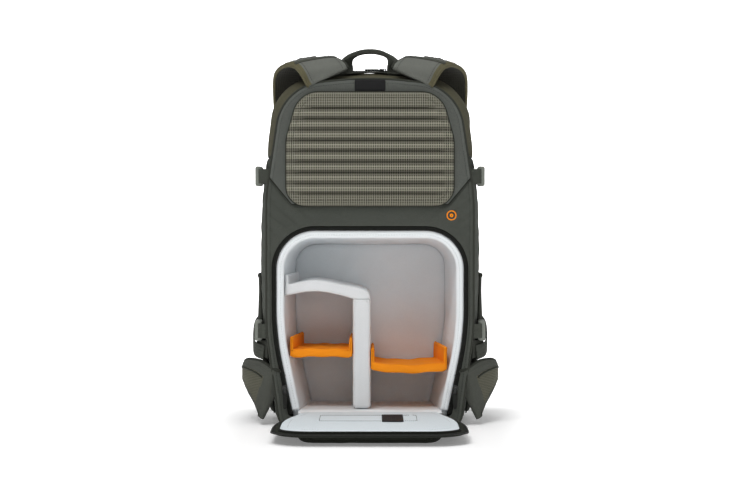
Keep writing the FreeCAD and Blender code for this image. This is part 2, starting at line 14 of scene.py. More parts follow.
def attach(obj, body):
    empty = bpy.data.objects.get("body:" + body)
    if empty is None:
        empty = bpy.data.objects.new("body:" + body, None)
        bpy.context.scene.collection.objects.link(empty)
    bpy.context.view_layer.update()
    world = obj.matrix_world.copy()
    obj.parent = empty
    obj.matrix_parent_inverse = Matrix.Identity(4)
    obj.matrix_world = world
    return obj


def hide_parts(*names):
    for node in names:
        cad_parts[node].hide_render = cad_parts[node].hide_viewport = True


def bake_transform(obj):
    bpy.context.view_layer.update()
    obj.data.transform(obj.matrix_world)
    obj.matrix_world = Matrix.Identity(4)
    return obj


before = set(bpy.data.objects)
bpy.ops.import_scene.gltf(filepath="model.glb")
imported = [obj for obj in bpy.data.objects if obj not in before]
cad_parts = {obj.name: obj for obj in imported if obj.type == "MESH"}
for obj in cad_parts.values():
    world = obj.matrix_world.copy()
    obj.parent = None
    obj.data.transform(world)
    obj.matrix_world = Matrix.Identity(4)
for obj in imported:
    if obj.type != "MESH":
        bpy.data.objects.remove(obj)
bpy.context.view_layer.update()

# ---------------------------------------------------------------- driving dimensions, as in the CAD model
YB, YF = -85.0, 85.0
BASE_HALF, HIP_HALF, HIP_Z, WAIST_Z = 117.0, 134.0, 125.0, 300.0
SHOULDER_HALF, SHOULDER_Z, CROWN_Z = 113.0, 441.0, 453.0
SIDE_BULGE, TOP_BULGE, SHOULDER_BULGE = 5.5, 9.0, 2.2
GUSSET_SPLIT_Z = 350.0
SILL_Z, SILL_HALF, OPEN_HALF = 12.0, 106.0, 128.0
OPEN_KNEE_Z, OPEN_TOP_Z, OPEN_CORNER_R = 118.0, 260.0, 56.0
RIM_IN = 15.0
SIDE_BELLY = 3.6
RIB_FIRST_Z, RIB_PITCH, RIB_COUNT = 302.0, 13.93, 8
COMP_FRONT_Y, COMP_REAR_Y, COMP_REAR_INSET = YB + 10, YB + 135, 27.0
FLOOR_Z = 20.0
HINGE_Y, HINGE_Z = YB - 2, 10.0
FLAP_INSET, FLAP_BOTTOM = 12.5, 14.0
WEB_W, WEB_T = 19.0, 1.6
SIDES = (("left", -1), ("right", 1))


# ---------------------------------------------------------------- mesh tools
def make_mesh(name, points, faces, material, body="bag", smooth=True, slot=None):
    """An object from points in millimetres. It rides on body; slot is not used."""
    mesh = bpy.data.meshes.new(name)
    mesh.from_pydata([tuple(p) for p in np.asarray(points) / 1000], [], [tuple(f) for f in faces])
    mesh.validate()
    if smooth:
        mesh.polygons.foreach_set("use_smooth", [True] * len(mesh.polygons))
    mesh.materials.append(material)
    obj = bpy.data.objects.new(name, mesh)
    bpy.context.scene.collection.objects.link(obj)
    tidy_normals(obj)
    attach(obj, body)
    return obj


def tidy_normals(obj):
    bm = bmesh.new()
    bm.from_mesh(obj.data)
    bmesh.ops.recalc_face_normals(bm, faces=bm.faces)
    bm.to_mesh(obj.data)
    bm.free()


def unit(rows):
    """Each row scaled to length 1."""
    return rows / np.maximum(np.linalg.norm(rows, axis=-1, keepdims=True), 1e-9)


def tangents(path):
    return unit(np.gradient(path, axis=0))


def arc_length(path):
    """The way along a polyline to each of its points."""
    return np.concatenate([[0], np.cumsum(np.linalg.norm(np.diff(path, axis=0), axis=1))])


def both_halves(corners):
    """Corners of the right half, then their mirror images from the last to the first."""
    return corners + [(-x, z) for x, z in reversed(corners)]


def rounded(corners, radii, arc_n=9, line_n=10):
    """A closed outline through 2-D corners, each rounded with an arc."""
    corners = [np.array(c, float) for c in corners]
    n, out, starts, ends, arcs = len(corners), [], [], [], []
    for i, (p, r) in enumerate(zip(corners, radii)):
        a = corners[i - 1] - p
        b = corners[(i + 1) % n] - p
        a, b = a / np.linalg.norm(a), b / np.linalg.norm(b)
        half = math.acos(max(-1.0, min(1.0, float(a @ b)))) / 2
        centre = p + (a + b) / np.linalg.norm(a + b) * (r / math.sin(half))
        s, e = p + a * (r / math.tan(half)), p + b * (r / math.tan(half))
        t0 = math.atan2(*(s - centre)[::-1])
        turn = (math.atan2(*(e - centre)[::-1]) - t0 + math.pi) % (2 * math.pi) - math.pi
        arcs.append([centre + r * np.array([math.cos(t0 + turn * k / arc_n),
                                            math.sin(t0 + turn * k / arc_n)])
                     for k in range(arc_n + 1)])
        starts.append(s)
        ends.append(e)
    for i in range(n):
        out += arcs[i]
        a, b = ends[i], starts[(i + 1) % n]
        out += [a + (b - a) * k / line_n for k in range(1, line_n)]
    return np.array(out)


def evened(points, step, closed=True):
    """The polyline resampled at equal steps of about step."""
    points = np.asarray(points, float)
    if closed:
        points = np.vstack([points, points[:1]])
    length = arc_length(points)
    keep = np.concatenate([[True], np.diff(length) > 1e-9])
    points, length = points[keep], length[keep]
    count = max(3, int(round(length[-1] / step)))
    at = np.linspace(0, length[-1], count + 1)[: count if closed else None]
    return np.stack([np.interp(at, length, points[:, k]) for k in range(points.shape[1])], axis=1)


def edge_distance(points, loops):
    """For each 2-D point, the distance to the nearest edge of the loops."""
    best = np.full(len(points), 1e9)
    for loop in loops:
        a, b = loop, np.roll(loop, -1, axis=0)
        d = b - a
        size = np.maximum((d * d).sum(1), 1e-12)
        for k in range(0, len(points), 4000):
            p = points[k : k + 4000, None, :]
            t = np.clip(((p - a) * d).sum(2) / size, 0, 1)
            gap = p - (a + t[..., None] * d)
            best[k : k + 4000] = np.minimum(best[k : k + 4000], np.sqrt((gap * gap).sum(2)).min(1))
    return best


def inside(points, loops):
    """Even-odd test of 2-D points against closed loops."""
    hit = np.zeros(len(points), bool)
    x, y = points[:, 0], points[:, 1]
    for loop in loops:
        for (ax, ay), (bx, by) in zip(loop, np.roll(loop, -1, axis=0)):
            if ay != by:
                cross = (ay > y) != (by > y)
                hit ^= cross & (x < (bx - ax) * (y - ay) / (by - ay) + ax)
    return hit


def flat_mesh(loops, step, rings=(0.8, 2.0, 3.8)):
    """Triangles that fill the loops, finer beside their edges, as points, triangles and edge distances."""
    loops = [evened(loop, step) for loop in loops]
    edge = []
    for loop in loops:
        ahead, behind = np.roll(loop, -1, axis=0), np.roll(loop, 1, axis=0)
        way = ahead - behind
        normal = unit(np.stack([-way[:, 1], way[:, 0]], axis=1))
        for ring in rings:
            for sign in (-1, 1):
                edge.append(loop + sign * ring * normal)
    low, high = np.vstack(loops).min(0), np.vstack(loops).max(0)
    row = step * math.sqrt(3) / 2
    grid = [(x + (step / 2 if j % 2 else 0), y) for j, y in enumerate(np.arange(low[1], high[1], row))
            for x in np.arange(low[0], high[0], step)]
    grid = np.array(grid)
    grid = grid[inside(grid, loops)]
    grid = grid[edge_distance(grid, loops) > (rings[-1] if rings else 0) + step * 0.45]
    if edge:
        edge = np.vstack(edge)
        edge = edge[inside(edge, loops)]
        edge = edge[edge_distance(edge, loops) > (rings[0] * 0.85)]
        grid = np.vstack([grid, edge])
    points, segments = [], []
    for loop in loops:
        start = len(points)
        points += [tuple(p) for p in loop]
        segments += [(start + i, start + (i + 1) % len(loop)) for i in range(len(loop))]
    points += [tuple(p) for p in grid]
    found = geometry.delaunay_2d_cdt([Vector(p) for p in points], segments, [], 0, 1e-4)
    flat = np.array([tuple(p) for p in found[0]])
    tris = np.array([f for f in found[2] if len(f) == 3])
    middle = flat[tris].mean(1)
    tris = tris[inside(middle, loops)]
    used = np.unique(tris)
    back = -np.ones(len(flat), int)
    back[used] = np.arange(len(used))
    flat, tris = flat[used], back[tris]
    distance = edge_distance(flat, loops)
    distance[distance < 1e-3] = 0.0
    return flat, tris, distance


def quilt(name, loops, top, bottom, place, material, step=4.0, rings=(0.8, 2.0, 3.8), **where):
    """A closed padded panel.

    top and bottom give heights from (u, v, edge distance), and place maps (u, v, height) to 3-D.
    """
    flat, tris, distance = flat_mesh(loops, step, rings)
    u, v = flat[:, 0], flat[:, 1]
    upper = place(u, v, top(u, v, distance))
    lower = place(u, v, bottom(u, v, distance))
    count = len(flat)
    faces = [tuple(t) for t in tris] + [tuple(t[::-1] + count) for t in tris]
    pairs = {}
    for t in tris:
        for a, b in ((t[0], t[1]), (t[1], t[2]), (t[2], t[0])):
            if (b, a) in pairs:
                pairs.pop((b, a))
            else:
                pairs[(a, b)] = True
    faces += [(b, a, a + count, b + count) for a, b in pairs]
    return make_mesh(name, np.vstack([upper, lower]), faces, material, **where)


def grid_faces(rows, cols, wrap=False):
    last = cols if wrap else cols - 1
    return [(i * cols + j, i * cols + (j + 1) % cols, (i + 1) * cols + (j + 1) % cols, (i + 1) * cols + j)
            for i in range(rows - 1) for j in range(last)]


def grid_normals(grid):
    du = np.gradient(grid, axis=0)
    dv = np.gradient(grid, axis=1)
    return unit(np.cross(du, dv))


def thick_grid(name, grid, thickness, material, outward, **where):
    """A closed sheet from a grid of 3-D points, thickened inwards. outward is a point well outside it."""
    rows, cols = grid.shape[:2]
    normal = grid_normals(grid)
    centre = grid.reshape(-1, 3).mean(0)
    middle = normal[rows // 2, cols // 2]
    if middle @ (np.array(outward, float) - centre) < 0:
        normal = -normal
    inner = grid - normal * thickness
    points = np.vstack([grid.reshape(-1, 3), inner.reshape(-1, 3)])
    count = rows * cols
    faces = grid_faces(rows, cols)
    faces += [tuple(k + count for k in f[::-1]) for f in grid_faces(rows, cols)]
    rim = [i * cols for i in range(rows)] + [(rows - 1) * cols + j for j in range(1, cols)]
    rim += [i * cols + cols - 1 for i in range(rows - 2, -1, -1)] + list(range(cols - 2, 0, -1))
    for a, b in zip(rim, rim[1:] + rim[:1]):
        faces.append((a, a + count, b + count, b))
    return make_mesh(name, points, faces, material, **where)


def smooth_path(points, steps=6):
    """A Catmull-Rom curve through rows of numbers."""
    points = np.asarray(points, float)
    padded = np.vstack([2 * points[0] - points[1], points, 2 * points[-1] - points[-2]])
    out = []
    for i in range(1, len(padded) - 2):
        p0, p1, p2, p3 = padded[i - 1 : i + 3]
        for k in range(steps):
            t = k / steps
            out.append(0.5 * (2 * p1 + (p2 - p0) * t + (2 * p0 - 5 * p1 + 4 * p2 - p3) * t * t
                              + (3 * p1 - p0 - 3 * p2 + p3) * t ** 3))
    out.append(padded[-2])
    return np.array(out)


def frames(path, up=(0, 0, 1), closed=False):
    """Side and normal directions along a path. up may be one vector or one for each point."""
    path = np.asarray(path, float)
    if closed:
        tangent = unit(np.roll(path, -1, axis=0) - np.roll(path, 1, axis=0))
    else:
        tangent = tangents(path)
    up = np.broadcast_to(np.array(up, float), path.shape)
    side = unit(np.cross(tangent, up))
    return side, np.cross(side, tangent)


def tube(name, path, radius, material, sides=10, closed=False, up=(0, 0, 1), flat=1.0, **where):
    """A round tube along a path, squashed along the frame's normal by flat."""
    path = np.asarray(path, float)
    side, normal = frames(path, up, closed)
    angle = np.arange(sides) * 2 * math.pi / sides
    radius = np.broadcast_to(radius, (len(path),))[:, None, None]
    ring = (np.cos(angle)[None, :, None] * side[:, None, :]
            + flat * np.sin(angle)[None, :, None] * normal[:, None, :])
    grid = path[:, None, :] + ring * radius
    rows = len(path)
    points = grid.reshape(-1, 3)
    faces = grid_faces(rows, sides, wrap=True)
    if closed:
        last = (rows - 1) * sides
        faces += [(last + j, last + (j + 1) % sides, (j + 1) % sides, j) for j in range(sides)]
    else:
        faces += [tuple(range(sides))[::-1], tuple(range((rows - 1) * sides, rows * sides))]
    return make_mesh(name, points, faces, material, **where)


def sweep(name, centres, across, through, half_width, profile, material, **where):
    """A band swept along centres.

    profile gives a closed loop of (share of half width, height) at each station.
    across, through and half_width may each be one value or one for each station.
    """
    rows = len(centres)
    across, through = (np.broadcast_to(np.array(v, float), (rows, 3)) for v in (across, through))
    half_width = np.broadcast_to(half_width, (rows,))
    grid = []
    for i in range(rows):
        loop = profile(i / (rows - 1))
        grid.append(centres[i] + np.outer(loop[:, 0] * half_width[i],
                                          across[i]) + np.outer(loop[:, 1], through[i]))
    grid = np.array(grid)
    sides = grid.shape[1]
    faces = grid_faces(rows, sides, wrap=True)
    faces += [tuple(range(sides))[::-1], tuple(range((rows - 1) * sides, rows * sides))]
    return make_mesh(name, grid.reshape(-1, 3), faces, material, **where)


def band_frames(stations, steps=8):
    """Smoothed centres, width and thickness directions, and half widths of a band."""
    rows = np.array([[*c, *w, *n, width / 2] for c, w, n, width in stations], float)
    rows = smooth_path(rows, steps)
    centres, across, through = rows[:, 0:3], rows[:, 3:6], rows[:, 6:9]
    across, tangent = unit(across), tangents(centres)
    across = unit(across - tangent * (across * tangent).sum(1, keepdims=True))
    normal = np.cross(tangent, across)
    normal *= np.sign((normal * through).sum(1, keepdims=True))
    return centres, across, normal, rows[:, 9]


def web_profile(thick, ribs=0, ridge=0.12):
    """The section of a woven strap: rounded edges and, if asked, fine lengthwise ribs."""
    h = thick / 2
    u = np.linspace(0.93, -0.93, 6 * max(ribs, 1) + 1)
    top = np.stack([u, h + (ridge * np.cos(u * math.pi * ribs) if ribs else 0 * u)], axis=1)
    edge = np.array([(-0.985, h * 0.6), (-1, 0), (-0.985, -h * 0.6)])
    loop = np.vstack([top, edge, -top, -edge])
    return lambda t: loop


def stitches(name, path, normal, material, pitch=3.2, length=2.3, width=0.55, lift=0.25, **where):
    """A row of thread stitches along a path. They stand proud along normal, one or one for each point."""
    path = np.asarray(path, float)
    way = arc_length(path)
    count = max(1, int(way[-1] / pitch))
    normal = np.broadcast_to(np.array(normal, float), path.shape)
    points, faces = [], []
    for k in range(count):
        ends = [(k + 0.5) * pitch - length / 2, (k + 0.5) * pitch + length / 2]
        a, b = (np.array([np.interp(s, way, path[:, c]) for c in range(3)]) for s in ends)
        n = np.array([np.interp((k + 0.5) * pitch, way, normal[:, c]) for c in range(3)])
        n /= np.linalg.norm(n)
        t = (b - a) / max(np.linalg.norm(b - a), 1e-9)
        s = np.cross(t, n)
        m = (a + b) / 2 + n * lift
        start = len(points)
        for along in (-0.28, 0.28):
            c = m + t * length * along
            points += [c + s * width / 2, c + n * width * 0.45, c - s * width / 2, c - n * width * 0.45]
        points += [a - n * 0.1, b - n * 0.1]
        for j in range(4):
            q, r = start + j, start + (j + 1) % 4
            faces += [(q, r, r + 4, q + 4), (start + 8, r, q), (start + 9, q + 4, r + 4)]
    return make_mesh(name, points, faces, material, **where)


def ripple(u, v, scale, seed, terms=7):
    """Soft seeded noise from -1 to 1: a sum of plane waves about scale long."""
    rng = np.random.default_rng(seed)
    total = np.zeros_like(np.asarray(u, float))
    for _ in range(terms):
        angle, phase = rng.uniform(0, 2 * math.pi, 2)
        wave = 2 * math.pi / (scale * rng.uniform(0.6, 1.7))
        total += np.sin((np.cos(angle) * u + np.sin(angle) * v) * wave + phase)
    return total / math.sqrt(terms) / 1.6


def crease(u, v, start, end, width, depth):
    """A fold: a shallow valley along a segment with a ridge on each side of it, fading out at both ends."""
    a, b = np.array(start, float), np.array(end, float)
    d = b - a
    size = np.linalg.norm(d)
    along = ((u - a[0]) * d[0] + (v - a[1]) * d[1]) / size ** 2
    off = ((u - a[0]) * d[1] - (v - a[1]) * d[0]) / size / width
    fade = np.clip(along, 0, 1) * np.clip(1 - along, 0, 1) * 4
    fade = np.sqrt(np.clip(fade, 0, 1)) * ((along > 0) & (along < 1))
    return depth * fade * (1 - 2 * off ** 2) * np.exp(-off ** 2) * -1


def soft_edge(d, radius):
    """0 at an edge, 1 from radius inwards, round in between."""
    return np.sqrt(np.clip(1 - (1 - np.clip(d / radius, 0, 1)) ** 2, 0, 1))


def smoothstep(x, low, high):
    t = np.clip((x - low) / (high - low), 0, 1)
    return t * t * (3 - 2 * t)


def swelled(obj, cap, voxel, held):
    """Pads a closed piece by cloth simulation.

    Points that held picks stay put, and none moves further than cap millimetres.
    """
    remesh = obj.modifiers.new("even", "REMESH")
    remesh.mode = "VOXEL"
    remesh.voxel_size = voxel / 1000
    graph = bpy.context.evaluated_depsgraph_get()
    even = bpy.data.meshes.new_from_object(obj.evaluated_get(graph))
    obj.modifiers.clear()
    obj.data = even
    start = np.array([v.co for v in even.vertices])
    group = obj.vertex_groups.new(name="sewn")
    group.add([i for i, p in enumerate(start * 1000) if held(*p)], 1.0, "REPLACE")
    cloth_modifier = obj.modifiers.new("cloth", "CLOTH")
    settings = cloth_modifier.settings
    settings.use_pressure = True
    settings.uniform_pressure_force = 4.0
    settings.effector_weights.gravity = 0.0
    settings.vertex_group_mass = "sewn"
    for number in range(1, 21):
        bpy.context.scene.frame_set(number)
    graph = bpy.context.evaluated_depsgraph_get()
    after = np.array([v.co for v in obj.evaluated_get(graph).data.vertices])
    obj.modifiers.clear()
    move = after - start
    size = np.linalg.norm(move, axis=1, keepdims=True)
    move *= np.minimum(1.0, cap / 1000 / np.maximum(size, 1e-9))
    even.vertices.foreach_set("co", (start + move).ravel())
    bpy.context.scene.frame_set(1)
    smooth = obj.modifiers.new("smooth", "SUBSURF")
    smooth.levels = smooth.render_levels = 1
    graph = bpy.context.evaluated_depsgraph_get()
    obj.data = bpy.data.meshes.new_from_object(obj.evaluated_get(graph))
    obj.modifiers.clear()
    obj.vertex_groups.clear()
    obj.data.polygons.foreach_set("use_smooth", [True] * len(obj.data.polygons))
    return obj


# ---------------------------------------------------------------- materials
CLOTH_SPECULAR = 0.18


def linear(rgb):
    """sRGB 0-255 to linear 0-1."""
    shares = [c / 255 for c in rgb]
    return tuple(c / 12.92 if c <= 0.04045 else ((c + 0.055) / 1.055) ** 2.4 for c in shares)


class Graph:
    """A new material, with short names for building its shader."""

    def __init__(self, name, rgb, rough, sheen=0.0):
        self.material = bpy.data.materials.new(name)
        self.material.use_nodes = True
        tree = self.material.node_tree
        self.nodes, self.link = tree.nodes, tree.links.new
        self.inputs = self.nodes["Principled BSDF"].inputs
        self.colour = linear(rgb)
        self.set("Base Color", (*self.colour, 1))
        self.set("Roughness", rough)
        if rough > 0.5:
            self.set("Specular IOR Level", CLOTH_SPECULAR)
        if sheen:
            self.set("Sheen Weight", sheen)
            self.set("Sheen Roughness", 0.5)
        self.material.diffuse_color = (*self.colour, 1)
        self.place = self.nodes.new("ShaderNodeTexCoord").outputs["Object"]

    def fill(self, target, value):
        """Puts a number, a tuple or another node's output into a socket."""
        if isinstance(value, (int, float, tuple)):
            target.default_value = value
        else:
            self.link(value, target)

    def set(self, socket, value):
        self.fill(self.inputs[socket], value)

    def math(self, kind, *values, clamp=False):
        node = self.nodes.new("ShaderNodeMath")
        node.operation = kind
        node.use_clamp = clamp
        for target, value in zip(node.inputs, values):
            self.fill(target, value)
        return node.outputs[0]

    def centred(self, value, scale):
        """scale times (value - 0.5)."""
        return self.math("MULTIPLY", self.math("SUBTRACT", value, 0.5), scale)

    def split(self, vector):
        node = self.nodes.new("ShaderNodeSeparateXYZ")
        self.link(vector, node.inputs[0])
        return node.outputs

    def mix(self, share, a, b):
        node = self.nodes.new("ShaderNodeMix")
        node.data_type = "RGBA"
        for target, value in ((node.inputs[0], share), (node.inputs[6], a), (node.inputs[7], b)):
            self.fill(target, (*value, 1) if isinstance(value, tuple) else value)
        return node.outputs[2]

    def scaled(self, vector, scale):
        node = self.nodes.new("ShaderNodeVectorMath")
        node.operation = "SCALE"
        self.fill(node.inputs[0], vector)
        self.link(scale, node.inputs["Scale"])
        return node.outputs[0]

    def noise(self, scale, detail=3.0, rough=0.55):
        node = self.nodes.new("ShaderNodeTexNoise")
        for name, value in (("Scale", scale), ("Detail", detail), ("Roughness", rough),
                            ("Vector", self.place)):
            self.fill(node.inputs[name], value)
        return node.outputs["Fac"]

    def ramp(self, value, smooth=False, **limits):
        """Map range, with limits such as from_min=0.1."""
        node = self.nodes.new("ShaderNodeMapRange")
        if smooth:
            node.interpolation_type = "SMOOTHSTEP"
        for name, limit in limits.items():
            node.inputs[name.replace("_", " ").title()].default_value = limit
        self.link(value, node.inputs["Value"])
        return node.outputs[0]

    def relief(self, height, strength, depth):
        node = self.nodes.new("ShaderNodeBump")
        for name, value in (("Strength", strength), ("Distance", depth), ("Height", height)):
            self.fill(node.inputs[name], value)
        self.set("Normal", node.outputs[0])


def weave_height(g, pitch, along):
    """A woven relief from -1 to 1 in the plane that the surface faces."""
    places = g.split(g.place)
    facing = g.split(g.nodes.new("ShaderNodeNewGeometry").outputs["Normal"])
    waves, share = [], []
    for k, stretch in enumerate((1.0, 1.0, along)):
        turn = g.math("MULTIPLY", places[k], 2 * math.pi / (pitch * stretch / 1000))
        waves.append(g.math("SINE", turn))
        share.append(g.math("POWER", g.math("ABSOLUTE", facing[k]), 3.0))
    total = 0.0
    for k in range(3):
        crossed = g.math("MULTIPLY", waves[(k + 1) % 3], waves[(k + 2) % 3])
        total = g.math("ADD", total, g.math("MULTIPLY", crossed, share[k]))
    return total


def cloth(name, rgb, rough=0.9, sheen=0.0, pitch=1.1, weave=0.35, heather=0.25, blotch=0.12, bump=0.5,
          along=1.0):
    """A woven fabric with thread relief, a heather of lighter threads and slow changes of tone."""
    g = Graph(name, rgb, rough, sheen)
    raw = weave_height(g, pitch, along)
    fine, slow = g.noise(1300.0, 2.0), g.noise(16.0)
    value = g.math("ADD", g.math("MULTIPLY", raw, weave * 0.5), 1.0)
    value = g.math("ADD", value, g.centred(fine, heather * 2.2))
    value = g.math("ADD", value, g.centred(slow, blotch * 2))
    g.set("Base Color", g.scaled(g.colour, value))
    g.relief(g.math("ADD", raw, g.math("MULTIPLY", fine, 1.2)), bump, 0.0004)
    return g.material


def plastic(name, rgb, rough=0.42, grain=0.15):
    """Moulded plastic with a fine grain and slight changes of gloss."""
    g = Graph(name, rgb, rough)
    g.set("Roughness", g.math("MULTIPLY_ADD", g.noise(60.0), 0.16, rough - 0.08, clamp=True))
    g.relief(g.noise(900.0, 2.0), grain, 0.0002)
    return g.material


def brushed(name, rgb, rough=0.55, sheen=0.35):
    """Brushed lining knit: a soft nap with no thread pattern."""
    g = Graph(name, rgb, rough, sheen)
    fine = g.noise(700.0, 4.0, 0.7)
    nap = g.math("MULTIPLY_ADD", fine, 0.14, 0.90)
    tone = g.math("MULTIPLY_ADD", g.noise(22.0), 0.12, -0.05)
    g.set("Base Color", g.scaled(g.colour, g.math("ADD", nap, tone)))
    g.relief(fine, 0.35, 0.0004)
    return g.material


def rib_painted_light(g, height, tint, first, pitch, count):
    """Paints light on count ribs from height first: a painted highlight on each crest and painted shade in
    each valley.
    """
    t = g.math("DIVIDE", g.math("SUBTRACT", height, first / 1000), pitch / 1000)
    crest = g.math("POWER", g.math("ABSOLUTE", g.math("SINE", g.math("MULTIPLY", t, math.pi))), 2.0)
    ribbed = g.math("MULTIPLY", g.math("GREATER_THAN", t, 0.0), g.math("LESS_THAN", t, float(count)))
    change = g.math("MULTIPLY", ribbed, g.math("MULTIPLY_ADD", crest, 0.75, -0.4))
    return g.scaled(tint, g.math("ADD", change, 1.0))


def mesh_cloth(name, rgb, hole_shade_rgb, across=2.95, down=3.48, hole=0.6, axes=(0, 2), bump=0.8, ribs=None):
    """Open air mesh: columns of tall oval holes with painted shade inside them; with ribs, painted
    highlights on the rib crests and painted shade in their valleys.
    """
    g = Graph(name, rgb, 0.8)
    places = g.split(g.place)
    reach = []
    for axis, pitch, share in ((axes[0], across, 0.46), (axes[1], down, 0.66)):
        cell = g.math("FRACT", g.math("DIVIDE", places[axis], pitch / 1000))
        off = g.math("DIVIDE", g.math("SUBTRACT", cell, 0.5), hole * share)
        reach.append(g.math("POWER", g.math("ABSOLUTE", off), 2.4))
    solid = g.ramp(g.math("ADD", *reach), from_min=0.55, from_max=1.15)
    # The hole colour is painted shade inside the holes; noise also mixes a little of it into the threads at
    # random.
    dark = linear(hole_shade_rgb)
    thread = g.mix(g.math("MULTIPLY", g.noise(1100.0, 2.0), 0.35), g.colour, dark)
    # painted shade fills the holes, thread colour is elsewhere
    tint = g.mix(solid, dark, thread)
    if ribs:
        # painted highlights on the rib crests and painted shade in their valleys
        tint = rib_painted_light(g, places[2], tint, *ribs)
    g.set("Base Color", tint)
    g.relief(solid, bump, 0.0009)
    return g.material


M = {
    "upper": cloth("upper_cloth", (98, 101, 96), pitch=1.25, weave=0.30, heather=0.42, blotch=0.10,
                   bump=0.7),
    "lower": cloth("lower_cloth", (81, 84, 78), pitch=1.25, weave=0.34, heather=0.36, blotch=0.12,
                   bump=0.7),
    "olive": cloth("olive_cloth", (82, 80, 63), pitch=1.0, weave=0.30, heather=0.30, blotch=0.12),
    "binding": cloth("binding_cloth", (52, 54, 48), pitch=0.9, weave=0.45, heather=0.20, blotch=0.05),
    "piping": cloth("piping_cloth", (60, 62, 56), pitch=0.8, weave=0.35, heather=0.20, blotch=0.05),
    "belt": cloth("belt_cloth", (78, 80, 74), pitch=1.1, weave=0.32, heather=0.35),
    "strap_top": cloth("strap_top_cloth", (106, 108, 102), pitch=1.15, weave=0.32, heather=0.35),
    "strap_edge": cloth("strap_edge_cloth", (96, 92, 70), pitch=0.9, weave=0.35, heather=0.25),
    "webbing": cloth("webbing", (72, 75, 68), rough=0.75, pitch=1.5, weave=0.75, heather=0.22, blotch=0.05,
                     bump=1.0, along=0.6),
    "dark_web": cloth("handle_webbing", (76, 78, 71), rough=0.75, pitch=1.6, weave=0.8, heather=0.22,
                      blotch=0.05, bump=1.0),
    "tape": cloth("zip_tape", (32, 33, 30), rough=0.8, pitch=0.7, weave=0.4, heather=0.15, blotch=0.04),
    "coil": plastic("zip_coil", (30, 31, 29), 0.45),
    "lining": brushed("lining_knit", (243, 247, 249), sheen=0.1),
    "lining_inner": brushed("inner_knit", (234, 239, 242), sheen=0.1),
    "divider": brushed("divider_knit", (230, 231, 232), sheen=0.1),
    "orange": brushed("orange_knit", (255, 150, 24), 0.75, 0.0),
    "flap_light": cloth("flap_lining_cloth", (226, 234, 238), rough=0.7, pitch=0.8, weave=0.16,
                        heather=0.12, blotch=0.05, bump=0.3),
    "label": cloth("label_cloth", (28, 28, 29), rough=0.55, sheen=0.0, pitch=0.6, weave=0.3, heather=0.1,
                   blotch=0.0, bump=0.3),
    "thread": cloth("thread", (92, 94, 88), rough=0.7, pitch=0.5),
    "thread_dark": cloth("dark_thread", (46, 47, 44), rough=0.7, pitch=0.5),
    "thread_light": cloth("light_thread", (176, 182, 184), rough=0.7, pitch=0.5),
    "plastic": plastic("buckle_plastic", (122, 126, 118), 0.42),
    "rubber": plastic("pull_rubber", (36, 37, 34), 0.55),
    "metal": plastic("zip_slider", (40, 41, 39), 0.35),
    "sheet_plastic": plastic("frame_plastic", (40, 41, 40), 0.5),
    "emblem": plastic("emblem_orange", (255, 150, 24), 0.6),
    # the back pad's mesh, with painted highlights on its rib crests and painted shade in their valleys
    "mesh": mesh_cloth("air_mesh", (148, 146, 130), (36, 36, 30), ribs=(RIB_FIRST_Z, RIB_PITCH, RIB_COUNT)),
    "wing_mesh": mesh_cloth("wing_mesh", (108, 107, 92), (44, 44, 36), 1.9, 2.1, 0.6, (1, 2), 0.6),
    "side_mesh": mesh_cloth("stretch_mesh", (76, 78, 72), (28, 30, 27), 1.7, 1.7, 0.6, (1, 2), 0.5),
    "under_mesh": mesh_cloth("strap_mesh", (44, 43, 34), (22, 22, 17), 2.4, 2.4, 0.6, (0, 2), 0.6),
    # painted shade for the grooves between the back pad's ribs
    "groove": cloth("pad_groove_shade", (56, 56, 48), pitch=1.4, weave=0.5, heather=0.3),
    "tape_cloth": cloth("flap_outer_cloth", (46, 49, 42), pitch=1.2, weave=0.3, heather=0.3),
    "mesh_dark": mesh_cloth("lumbar_mesh", (54, 56, 49), (22, 22, 19), 2.6, 2.6, 0.6, (0, 1), 0.6),
}


def body_points(side=0.0, top=0.0, bottom=0.0):
    right = [(BASE_HALF + side, -bottom), (HIP_HALF + side, HIP_Z), (HIP_HALF + side, WAIST_Z),
             (SHOULDER_HALF + side * SHOULDER_BULGE, SHOULDER_Z + top)]
    return right + [(0.0, CROWN_Z + top)] + both_halves(right)[len(right):]


BODY_RADII = [14.0, 300.0, 250.0, 64.0, 450.0, 64.0, 250.0, 300.0, 14.0]
SECTION_Y = (YB + 5, YB + 50, YB + 115, YF - 4)
SIDE_CURVE = np.polyfit(SECTION_Y, (0.0, SIDE_BULGE, SIDE_BULGE, 0.0), 3)
TOP_CURVE = np.polyfit(SECTION_Y, (0.0, TOP_BULGE, TOP_BULGE - 1, -4.0), 3)


def body_loop(y=YB, grow=0.0):
    """The bag's outline in XZ at depth y: anticlockwise from the lower right corner."""
    side, top = (0.0, 0.0) if y <= YB + 5 else (np.polyval(SIDE_CURVE, y), np.polyval(TOP_CURVE, y))
    return rounded(body_points(side + grow, top + grow, grow), BODY_RADII, arc_n=16, line_n=40)


def seam_half(z):
    if z < HIP_Z:
        return BASE_HALF + (HIP_HALF - BASE_HALF) * z / HIP_Z
    if z < WAIST_Z:
        return HIP_HALF
    return HIP_HALF + (SHOULDER_HALF - HIP_HALF) * (z - WAIST_Z) / (SHOULDER_Z - WAIST_Z)


def arch_points(inset, bottom):
    slope = (OPEN_HALF - SILL_HALF) / (OPEN_KNEE_Z - SILL_Z)
    slant = math.hypot(1.0, slope)
    foot = SILL_HALF + slope * (bottom - SILL_Z) - slant * inset
    right = [(foot, bottom), (OPEN_HALF - inset, OPEN_KNEE_Z + inset * (slant - 1) / slope),
             (OPEN_HALF - inset, OPEN_TOP_Z - inset)]
    return both_halves(right)


def arch_loop(inset, bottom, foot=4.0):
    r = OPEN_CORNER_R - inset
    return rounded(arch_points(inset, bottom), [foot, 350.0, r, r, 350.0, foot], arc_n=20, line_n=24)


